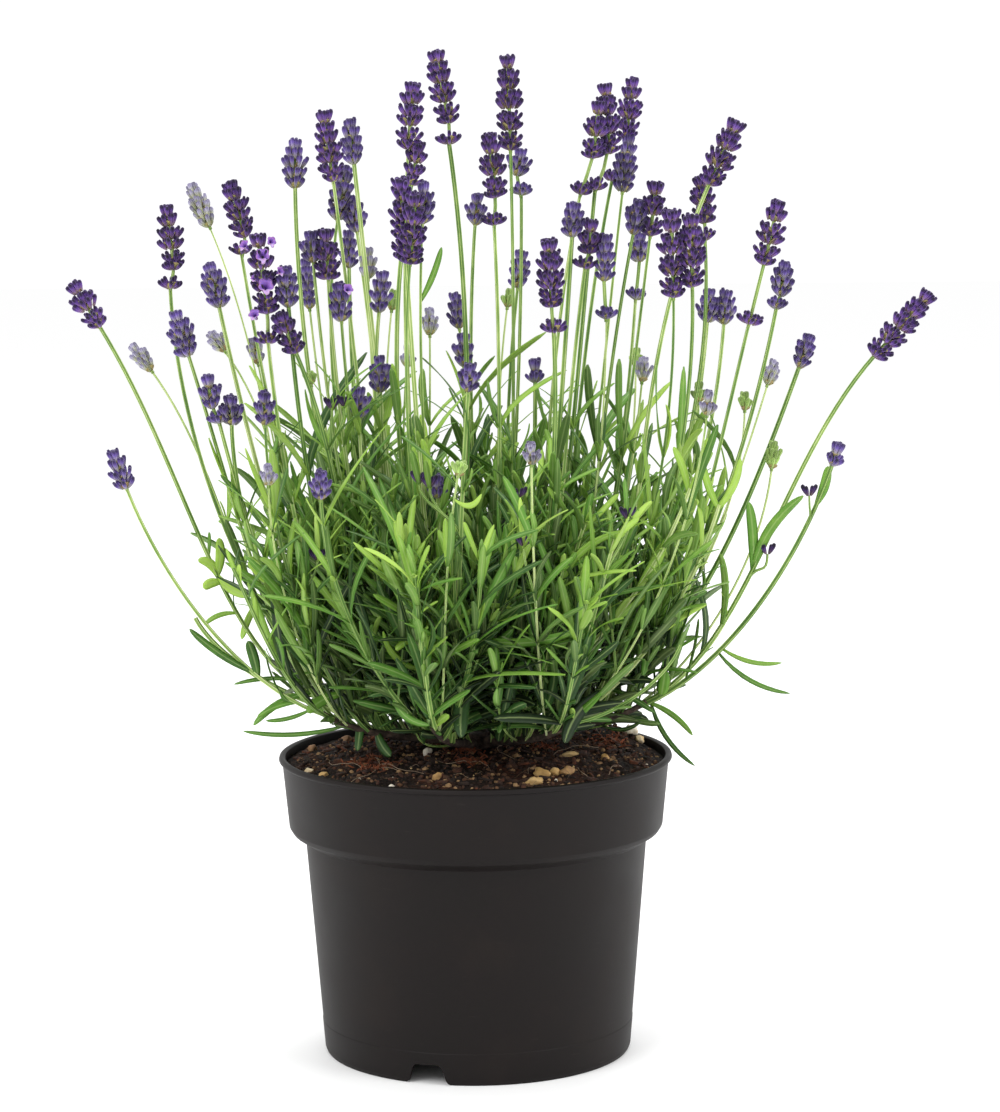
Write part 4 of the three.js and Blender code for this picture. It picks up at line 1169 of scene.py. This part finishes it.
def side_shoots(stems, rng):
    """Short leafy shoots that fill the bush: each starts low on a stem."""
    shoots = []
    for stem in stems:
        for _ in range(SIDE_SHOOTS):
            share = rng.uniform(0.02, 0.4)
            start = stem.line.at(share)
            along, side, other = frame_at(stem.line, share)
            angle = rng.uniform(0, 2 * math.pi)
            outwards = spoke(side, other, angle)
            heading = (along + outwards * rng.uniform(0.4, 1.1) + UP * 0.5).normalized()
            length = rng.uniform(*SIDE_SHOOT_LENGTH)
            end = start + heading * length * 0.75 + UP * length * 0.3
            if end.z > bush_height(end.xy.length) - 12 or not fits(end, 0.9):
                continue
            line = bezier(start, start + heading * length * 0.4, end - UP * length * 0.3, end, 24)
            shoots.append(Stem(line, None, THIN_STEM_RADIUS))
    return shoots


def leaf_step(stem, z, radius, rng):
    """Distance to the next pair of leaves: close below, wide apart at the top of the bush."""
    high = (z - BUSH_FOOT) / (bush_height(radius) - BUSH_FOOT)
    if stem.head is None:
        return between(*LEAFY_STEP, high) * rng.uniform(0.8, 1.2)
    return between(*FLOWER_STEM_STEP, max(0, high - 0.1)) * rng.uniform(0.8, 1.2)


def add_leaves(bm, shape, stem, rng):
    """Whorls of leaves up a stem, as far as the bush goes, and a tuft at a leafy shoot's tip."""
    line, turn = stem.line, rng.uniform(0, 3)
    share = rng.uniform(4, 10) / line.length
    while share < 1.0 - 3 / line.length:
        spot = line.at(share)
        radius = spot.xy.length
        if spot.z > bush_height(radius) + 6:
            break
        # painted shade and light: the tint runs from dark low in the bush, which lies in its own shade,
        # to light towards its top
        high = held((spot.z - 155) / 145)
        size = rng.uniform(*LEAF_LENGTH)
        tint = between(-0.2, 0.6, high**0.75)
        if stem.head is None:
            size *= between(1.0, 0.6, max(0, share - 0.5) * 2)
            tint += 0.15 * share
        add_whorl(bm, shape, line, share, size, rng, turn, tint)
        turn += math.pi / 2
        share += leaf_step(stem, spot.z, radius, rng) / line.length
    if stem.head is None:
        # the tuft's tint is painted lighter higher up in the same way
        add_whorl(bm, shape, line, 0.995, rng.uniform(12, 20), rng, turn, 0.35 + 0.3 * high)


PLACED_LEAVES = [                # base and tip as seen (x, z), depth of each, width, arch, tint
    ((0, 190), (-7, 152), -84, -98, 6.6, 2.5, 0.1), ((66, 170), (43, 149), -70, -88, 5.6, 3, 0.0),
    ((-55, 163), (-57, 146), -66, -74, 3.6, 0, 0.25), ((19, 166), (11, 150), -76, -88, 4.2, 2, 0.1),
    ((37, 188), (34, 166), -78, -88, 4.5, -1.5, 0.25), ((-48, 154), (-41, 143), -70, -80, 4.5, 1, 0.2),
    ((118, 194), (148, 187), -20, -24, 2.2, 3, 0.7), ((119, 191), (152, 172), -20, -28, 2.2, 4, 0.45),
    ((84, 172), (106, 137), -30, -44, 2.2, 4, 0.3), ((-62, 157), (-112, 156), -48, -56, 2, -3, 0.45),
    ((-80, 174), (-107, 159), -40, -50, 3, 3, 0.5), ((-118, 234), (-132, 240), -12, -16, 4, 2, 0.95),
    ((-118, 234), (-122, 250), -12, -16, 4, 1, 0.9), ((-117, 233), (-108, 222), -12, -20, 4, 2, 0.95),
    ((-118, 232), (-130, 226), -12, -18, 4, 1, 1), ((136, 231), (132, 265), -16, -20, 4.4, 1, 0.55),
    ((136, 231), (158, 268), -16, -22, 4.4, -4, 0.6), ((165, 264), (170, 282), -38, -40, 4.2, 1, 0.6),
    ((-22, 362), (-14, 388), -64, -66, 2.6, 1, 0.6), ((-7, 268), (4, 270), -104, -108, 2.6, 4, 0.95),
    ((-8, 229), (-22, 228), -92, -98, 2.6, -3, 0.85), ((-6, 211), (-29, 224), -86, -92, 2.8, -4, 0.8),
    ((-6, 209), (18, 215), -86, -92, 2.8, -3, 0.8), ((-24, 186), (-44, 204), -74, -84, 2.8, -4, 0.8),
    ((-30, 190), (-22, 212), -74, -78, 3, 2, 0.8), ((84, 226), (92, 248), -70, -72, 3, 2, 0.85),
    ((60, 205), (30, 196), -66, -76, 3, -3, 0.6), ((40, 222), (74, 252), -60, -64, 3.2, -7, 0.75),
    ((-40, 176), (-22, 158), -58, -70, 3.4, 5, 0.5),
    ((-113, 214), (-130, 208), -12, -16, 2.2, 2, 0.7), ((-106, 218), (-112, 201), -12, -20, 3, 1, 0.85),
    ((-108, 180), (-109, 200), -30, -34, 4.2, 0.5, 0.35),
    ((-110, 181), (-137, 206), -30, -38, 3, -1.5, 0.35),
    ((-87, 177), (-116, 179), -34, -42, 1.8, 2, 0.4), ((-90, 163), (-105, 163), -40, -46, 2.2, 1.5, 0.55),
    ((-84, 159), (-101, 161), -40, -46, 1.8, -1.5, 0.5), ((-89, 164), (-94, 176), -40, -42, 2, -2, 0.4),
    ((-47, 164), (-37, 177), -66, -74, 2.6, 3, 0.75), ((-65, 175), (-81, 165), -58, -66, 4.6, 1.5, 0.6),
    ((84, 168), (105, 152), -30, -38, 2.6, -2, 0.6), ((93, 183), (90, 172), -34, -38, 5, 0, 0.6),
    ((61, 156), (80, 159), -10, -20, 2, 3, 0.2), ((34, 183), (32, 166), -74, -84, 3.8, 0, 0.2),
    ((39, 186), (19, 186), -76, -84, 4.5, 1.5, 0.4), ((12, 196), (47, 203), -78, -88, 4, 3, 0.6),
    ((-10, 190), (-31, 197), -82, -88, 3.2, -3, 0.75), ((-29, 201), (-38, 195), -80, -86, 3, 1, 0.8),
    ((41, 175), (60, 185), -72, -78, 4.2, 2, 0.15), ((104, 270), (112, 296), -66, -68, 3.6, 2, 0.9),
    ((104, 270), (96, 292), -66, -66, 3.2, 1, 0.85), ((118, 262), (128, 286), -50, -52, 3.4, 2, 0.9),
    ((118, 262), (110, 284), -50, -50, 3.2, -1, 0.8),
]
FRONT_SHOOTS = [                 # seen foot, bend, arrival and tip (x, z); depth of foot and tip
    ((30, 174), (60, 198), (86, 224), (104, 272), -44, -66),
    ((60, 170), (88, 194), (106, 226), (118, 264), -34, -50),
]


SNAP = 12                        # a placed leaf starts on a stem point that is nearer than this


def seen_points(stems):
    """Points along all stems, each with its place as seen from the front."""
    points = []
    for stem in stems:
        for i in range(61):
            point = stem.line.at(i / 60)
            grow = 1 + point.y / EYE_DISTANCE
            points.append(((point.x / grow, EYE_HEIGHT + (point.z - EYE_HEIGHT) / grow), point))
    return points


def arched_leaf(row, points):
    """A leaf from the stem that passes its seen base, to its seen tip."""
    base_seen, tip_seen, base_depth, tip_depth, width, arch, tint = row

    def away(item):
        return math.dist(item[0], base_seen) + abs(item[1].y - base_depth) * 0.2

    nearest = min(points, key=away)
    base = nearest[1] if away(nearest) < SNAP else at_depth(base_seen, base_depth)
    way = at_depth(tip_seen, base.y + tip_depth - base_depth) - base
    side = way.cross(FRONT).normalized()
    leaf = Leaf(base, way.normalized(), -FRONT, 0, way.length, width, 0, 0, 0.3)
    leaf.bow = side * arch * 4
    return leaf, tint


def make_placed_leaves(stems, leaf_finish, stem_finish):
    """The shoots and leaves that stand out singly in front of the bush and at its edges."""
    bm, blade = new_mesh(), leaf_shape(10)
    greens, square = new_mesh(), unit_tube(4, 26)
    rng = random.Random(31)
    shoots = []
    for *places, foot_depth, tip_depth in FRONT_SHOOTS:
        spots = [
            at_depth(seen, between(foot_depth, tip_depth, i / 3)) for i, seen in enumerate(places)
        ]
        shoot = Stem(bezier(*spots), None, STEM_RADIUS)
        add_copy(greens, square, along_line(shoot.line, STEM_RADIUS, 0.7, 0.6), 0.95)
        for share in (0.35, 0.55, 0.75):
            add_whorl(bm, blade, shoot.line, share, 26, rng, rng.uniform(0, 3), 0.7)
        shoots.append(shoot)
    points = seen_points([*stems, *shoots])
    for row in PLACED_LEAVES:
        leaf, tint = arched_leaf(row, points)
        add_copy(bm, blade, leaf.place, tint)
    make_piece("single_leaves", bm, [leaf_finish])
    make_piece("front_shoots", greens, [stem_finish], smooth=False)


TWIG_DROP = 28                   # a twig likes to leave its stem so far below its buds
BUDS = [                         # seen place (x, z) and depth of each pair of side buds
    (74, 258, -84), (24, 245, -98), (-75, 239, -78), (141, 240, -14), (161, 268, -40),
    (-67, 312, -30), (-21, 274, -80), (-26, 276, -80), (-61, 313, -30), (22, 268, -60),
]


def nearest_stem(stems, spot):
    """The stem point some way below a spot that is easiest to reach from it."""
    best, found = 1e9, None
    for stem in stems:
        for i in range(4, 60):
            point = stem.line.at(i / 60)
            drop = spot.z - point.z
            if 12 < drop < 60:
                cost = (point - spot).xy.length + abs(drop - TWIG_DROP) * 0.4
                if cost < best:
                    best, found = cost, (point, stem.line.along(i / 60))
    return found


def make_side_buds(stems, purple, stem_finish, leaf_finish):
    """Small twigs that end in a pair of purple buds between two leaves."""
    bm, green, leaves = new_mesh(), new_mesh(), new_mesh()
    calyx, twig, blade = unit_tube(6, CALYX_STEPS), unit_tube(4, 10), leaf_shape()
    rng = random.Random(77)
    for x, z, depth in BUDS:
        spot = at_depth((x, z), depth)
        start, along = nearest_stem(stems, spot)
        line = bezier(start, start + along * 12, spot - UP * 12, spot, 12)
        add_copy(green, twig, along_line(line, 0.75, 0.8), 0.5)
        turn = rng.uniform(-0.4, 0.4)
        for i in range(4):
            outwards = around(turn + i * math.pi + (i // 2) * 0.5, 1, 0)
            heading = (UP + outwards * (0.7 - 0.3 * (i // 2))).normalized()
            place = calyx_place(spot + outwards * 0.7, heading, 5 - (i // 2), 2.1, UP)
            add_copy(bm, calyx, place, rng.uniform(-0.5, 0.2))
        add_whorl(leaves, blade, line, 0.97, 22, rng, turn, 0.6)
    make_piece("side_buds", bm, [purple])
    make_piece("side_twigs", green, [stem_finish], smooth=False)
    make_piece("twig_leaves", leaves, [leaf_finish])


def make_bunch(bunch, stems, leaf_finish, stem_finish, bark):
    """One branch with its stems, side shoots and leaves; gives back the lines of them all."""
    rng = random.Random(100 + bunch)
    blade = leaf_shape()
    square, fine = unit_tube(4, 26), unit_tube(4, 12)
    greens, leaves = new_mesh(), new_mesh()
    branch = Stem(branch_line(bunch), None, BRANCH_RADIUS)
    add_copy(greens, unit_tube(6, 16), along_line(branch.line, BRANCH_RADIUS, 0.6), 0.3, finish=1)
    shoots = side_shoots([branch, branch, *stems], rng)
    for stem in stems:
        shape_turn = rng.uniform(0, 1.5)
        thin = stem.radius == THIN_STEM_RADIUS
        tint = rng.uniform(0.75, 1.1) if thin else rng.uniform(0.3, 0.85)
        add_copy(greens, square, along_line(stem.line, stem.radius, 0.8, shape_turn), tint)
    for shoot in shoots:
        add_copy(greens, fine, along_line(shoot.line, shoot.radius, 0.6), rng.uniform(0.3, 0.6))
    for stem in [branch, *stems, *shoots]:
        add_leaves(leaves, blade, stem, rng)
    make_piece(f"stems_{bunch + 1}", greens, [stem_finish, bark], smooth=False)
    leaf_piece = make_piece(f"leaves_{bunch + 1}", leaves, [leaf_finish])
    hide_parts(f"leafy_bunch_{bunch + 1}")
    return [branch, *stems, *shoots]


# ---- Flower heads ----


CALYX_SHAPE = [0.45, 0.72, 0.9, 1.0, 1.0, 0.62]     # its half width at each step to the tip
RIPE, RACHIS, BRACT, RIPENING, YOUNG, GREEN = range(6)      # places in a head's materials


def calyx_place(base, direction, length, width, upwards):
    """A place function: a blunt barrel that curves upwards a little."""
    side = direction.cross(upwards).normalized() if direction.angle(upwards) > 0.1 else FRONT
    other = side.cross(direction)

    def place(point):
        wide = width / 2 * CALYX_SHAPE[round(point.z * CALYX_STEPS)]
        share = 1 - max(0, 1 - point.z) ** 1.25
        middle = base + (direction * share + upwards * 0.2 * share * share) * length
        return middle + (side * point.x + other * point.y) * wide

    return place


def head_kind(head):
    """How a head looks at its age: finish, spread of its calyces at foot and tip, pitch, taper."""
    if head.node is None:
        return (GREEN if head.radius < GREEN_HEAD else YOUNG), 0.6, 0.2, 3.6, 0.5
    if head.radius < RIPE_HEAD or head.node in CLOSED_HEADS:
        return RIPENING, 0.85, 0.2, 4.1, 0.5
    return RIPE, 1.15, 0.35, WHORL_PITCH, 0.62


class HeadMaker:
    """Puts flower heads together in one mesh, from calyces, bracts and a rachis."""

    def __init__(self, shapes, rng):
        self.calyx, self.rachis, self.bract = shapes
        self.bm, self.rng = new_mesh(), rng

    def add_ring(self, centre, axis, radius, count, tilt, turn, lighter=0, long=CALYX_LENGTH):
        """Calyces in a ring, at a tilt to the axis."""
        side, other = sides_of(axis)
        draw_from = self.rng.uniform
        for i in range(count):
            angle = turn + (i + draw_from(-0.2, 0.2)) * 2 * math.pi / count
            outwards = spoke(side, other, angle)
            direction = spoke(axis, outwards, tilt + draw_from(-0.16, 0.16))
            length = long * draw_from(0.88, 1.1)
            reach = radius - CALYX_WIDTH * 0.35 - length * math.sin(tilt)
            base = centre + outwards * max(0.5, reach) - axis * draw_from(0, 0.6)
            width = CALYX_WIDTH * draw_from(0.85, 1.12)
            place = calyx_place(base, direction, length, width, axis)
            tint = self.tint + lighter + draw_from(-0.3, 0.3)
            add_copy(self.bm, self.calyx, place, tint, self.finish)

    def add_bracts(self, centre, axis, radius, turn):
        """Three brownish bracts that hold a whorl from below."""
        side, other = sides_of(axis)
        for i in range(3):
            outwards = spoke(side, other, turn + i * 2 * math.pi / 3)
            leaf = Leaf(centre - axis * 0.6, axis, outwards, 0.85, radius * 0.82, 3.8, -0.15, 0, 0)
            add_copy(self.bm, self.bract, leaf.place, self.rng.uniform(0.2, 0.8), BRACT)

    def add_whorl(self, centre, axis, radius, openness, turn):
        """An outer crown of calyces, an inner one that is more upright, and the bracts below."""
        outer = 8 if radius > 6 else 6
        self.add_ring(centre, axis, radius, outer, openness, turn)
        inner, length = radius * 0.62, CALYX_LENGTH * 0.8
        self.add_ring(centre + axis * 1.1, axis, inner, 5, openness * 0.5, turn + 0.4, 0.12, length)
        self.add_bracts(centre, axis, radius, turn)

    def add_head(self, head):
        """Whorls of calyces up the axis, a tuft at the tip, and any whorl that sits apart."""
        self.finish, wide_open, closed, pitch, taper = head_kind(head)
        ripe, draw_from = self.finish == RIPE, self.rng.uniform
        axis, length = (head.tip - head.foot).normalized(), (head.tip - head.foot).length
        whorls = max(1, round((length - HEAD_CROWN) / (pitch * draw_from(0.94, 1.06))) + 1)
        pitch = (length - HEAD_CROWN) / max(whorls - 1, 1)
        self.tint = draw_from(0.35, 0.65)
        line = Line([head.root - head.direction * 2, head.foot, head.tip - axis * 3])
        add_copy(self.bm, self.rachis, along_line(line, 0.9), 0.5, RACHIS)
        for k in range(whorls):
            centre = head.foot + axis * pitch * (k + draw_from(-0.1, 0.1) * (k > 0))
            share = k / max(whorls - 1, 1)
            swell = draw_from(0.9, 1.05) * min(1, 0.9 + share * 0.4)
            if ripe and k % 2:
                centre = centre - axis * 1.2
            swell *= between(1, taper, max(0, share * 2.2 - 1.2)) if whorls > 1 else 0.95
            openness = between(wide_open, closed, share)
            self.add_whorl(centre, axis, head.radius * swell, openness, k * 0.35)
        top = head.tip - axis * HEAD_CROWN
        radius = head.radius * taper * (0.5 if ripe else 0.36)
        self.add_ring(top, axis, radius, 4, 0.2, 0.3, 0.1, 4.2)
        self.add_ring(top + axis * 1.2, axis, 0.8, 2, 0.05, 0.3, 0.1, 3.6)
        if head.apart:
            self.add_whorl(head.root, head.direction, head.radius * 0.95, 1.1, 0.2)


COROLLAS = [                     # seen place (x, z) in the plane of the axis, size
    (-99, 384, 3.4), (-98, 369, 3.8), (-107, 389, 2.6), (-95, 391, 2.4), (-91, 377, 2.2),
    (-103, 356, 2.8), (-101, 393, 1.8), (-59, 368, 2.6), (-103, 374, 1.8),
]


def corolla_place(base, direction, size):
    """A small trumpet folded back into its throat: five lobes, the lowest drawn out."""
    side = -(UP - direction * direction.z).normalized()
    other = direction.cross(side)

    def place(point):
        share = point.z
        angle = math.atan2(point.y, point.x)
        lobes = 0.7 + 0.36 * abs(math.cos(2.5 * angle)) ** 0.6 - 0.14 * math.cos(angle)
        lobes += 0.4 * max(0, math.cos(angle)) ** 9
        if share <= 0.6:
            rise = share / 0.6
            wide = between(0.36, 1, rise**2.4) * between(0.8, lobes, rise)
        else:
            rise = 1 - (share - 0.6) / 0.4 * 0.75
            wide = between(0.16, 0.95, max(0, rise / 0.75 - 1 / 3) ** 1.8) * between(0.8, lobes, rise)
        curl = 1.5 * rise - 0.5 * max(0, rise - 0.75)
        tip = base + direction * size * curl
        return tip + spoke(side, other, angle) * size * wide

    return place


def make_corollas():
    bm = new_mesh()
    trumpet = unit_tube(30, 10)
    for i, (x, z, size) in enumerate(COROLLAS):
        depth = -24 if x > -70 else -51
        spot = at_depth((x, z), depth)
        heading = Vector(((x + 100) / 9 if x < -70 else 0.5, -1, 0.3 + 0.25 * (i % 3))).normalized()
        add_copy(bm, trumpet, corolla_place(spot - heading * 2, heading, size), i % 3 / 2)
    make_piece("open_corollas", bm, [lilac_petal()])


def make_heads(heads, finishes):
    """A piece for each node of flower heads, and one for all young heads."""
    shapes = unit_tube(6, CALYX_STEPS), unit_tube(5, 4), leaf_shape(3)
    nodes = dict.fromkeys(head.node for head in heads if head.node)
    for seed, name in [*enumerate(nodes, 500), (499, None)]:
        maker = HeadMaker(shapes, random.Random(seed))
        for head in heads:
            if head.node == name:
                maker.add_head(head)
        piece_name = f"calyces_of_{name}" if name else "young_heads"
        made = make_piece(piece_name, maker.bm, finishes)
        if name:
            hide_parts(name)


# ---- The woody crown ----


def bark_place(line, radius, taper, seed):
    """A place function: a rod along a line, rough with bark."""
    follow = along_line(line, 1.0)

    def place(point):
        shift = Vector((point.x * 1.6, point.y * 1.6, point.z * line.length / 9 + seed * 7))
        wide = radius * between(1, taper, point.z) * (1 + 0.3 * noise.noise(shift))
        centre = line.at(point.z)
        return centre + (follow(point) - centre) * wide

    return place


def make_crown(bark):
    bm = new_mesh()
    rod = unit_tube(14, 16)
    trunk = Line([Vector((0, 0, TRUNK_FOOT)), Vector((1.2, -0.8, 140)), Vector((0.3, 0.2, TRUNK_TOP))])
    add_copy(bm, rod, bark_place(trunk, TRUNK_RADIUS, 0.9, 0), 0.5)
    for bunch in range(BUNCHES):
        start = around(bunch_azimuth(bunch), 0, LIMB_ROOT - 3)
        end = limb_point(bunch, LIMB_END)
        line = bezier(start, start + UP * 3, limb_point(bunch, LIMB_END - 7), end, 16)
        add_copy(bm, rod, bark_place(line, LIMB_RADIUS, 0.85, bunch + 1), 0.4)
    crown = make_piece("bark_covered_crown", bm, [bark])
    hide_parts("woody_crown")


# ---- Stage ----


FLOOR_SIZE = 8                   # metres from its middle to its sides
ROOM_LIGHT = 1.05
AIM = Vector((0, 0, 0.25))       # the point that the lights face
SOFTBOXES = [                    # place, size and power of each
    ((-1.3, -1.5, 1.9), 1.2, 26), ((1.6, -1.0, 1.5), 1.0, 15), ((0.2, 1.2, 2.0), 1.4, 18),
]


def make_stage():
    """A pale floor, an even white room and three soft lights."""
    bm = bmesh.new()
    bmesh.ops.create_grid(bm, x_segments=1, y_segments=1, size=FLOOR_SIZE)
    sheet = bpy.data.objects.new("pale_floor", as_shape(bm))
    sheet.data.materials.append(white_paper())
    bpy.context.scene.collection.objects.link(sheet)
    world = bpy.data.worlds.new("studio")
    world.use_nodes = True
    world.node_tree.nodes["Background"].inputs["Color"].default_value = (1, 1, 1, 1)
    world.node_tree.nodes["Background"].inputs["Strength"].default_value = ROOM_LIGHT
    bpy.context.scene.world = world
    for i, (spot, size, power) in enumerate(SOFTBOXES):
        light = bpy.data.lights.new(f"softbox_{i}", "AREA")
        light.energy, light.size = power, size
        lamp = bpy.data.objects.new(f"softbox_{i}", light)
        lamp.location = spot
        lamp.rotation_euler = (AIM - Vector(spot)).to_track_quat("-Z", "Y").to_euler()
        bpy.context.scene.collection.objects.link(lamp)


CAMERA_LENS = 108.8             # for a 36 mm long side
CAMERA_PITCH = 7.26             # degrees below level
CAMERA_YAW = 0.45
CAMERA_ROLL = 0.45


def make_camera():
    data = bpy.data.cameras.new("camera")
    data.lens, data.sensor_width = CAMERA_LENS, 36
    camera = bpy.data.objects.new("camera", data)
    camera.matrix_world = (
        Matrix.Translation((0, -EYE_DISTANCE * MM, EYE_HEIGHT * MM))
        @ Matrix.Rotation(math.radians(-CAMERA_YAW), 4, "Z")
        @ Matrix.Rotation(math.radians(90 - CAMERA_PITCH), 4, "X")
        @ Matrix.Rotation(math.radians(-CAMERA_ROLL), 4, "Z")
    )
    bpy.context.scene.collection.objects.link(camera)
    bpy.context.scene.camera = camera
    bpy.context.scene.view_settings.view_transform = "Standard"


# ---- The whole plant ----

make_camera()
make_stage()
make_pot()
make_soil()
make_litter()
bark_finish = shrub_bark()
make_crown(bark_finish)
all_heads = [Head(*row) for row in HEADS] + [Head(None, *row) for row in YOUNG_HEADS]
stem_green, leaf_green, purple = green_stem(), felted_leaf(), purple_calyx()
all_stems = [bunch_stems(number, all_heads) for number in range(BUNCHES)]
grown = []
for number, stems in enumerate(all_stems):
    grown += make_bunch(number, stems, leaf_green, stem_green, bark_finish)
make_placed_leaves(grown, leaf_green, stem_green)
make_heads(
    all_heads,
    [purple, stem_green, brown_bract(), ripening_calyx(), young_calyx(), green_calyx()],
)
make_side_buds([stem for stems in all_stems for stem in stems], purple, stem_green, leaf_green)
make_corollas()
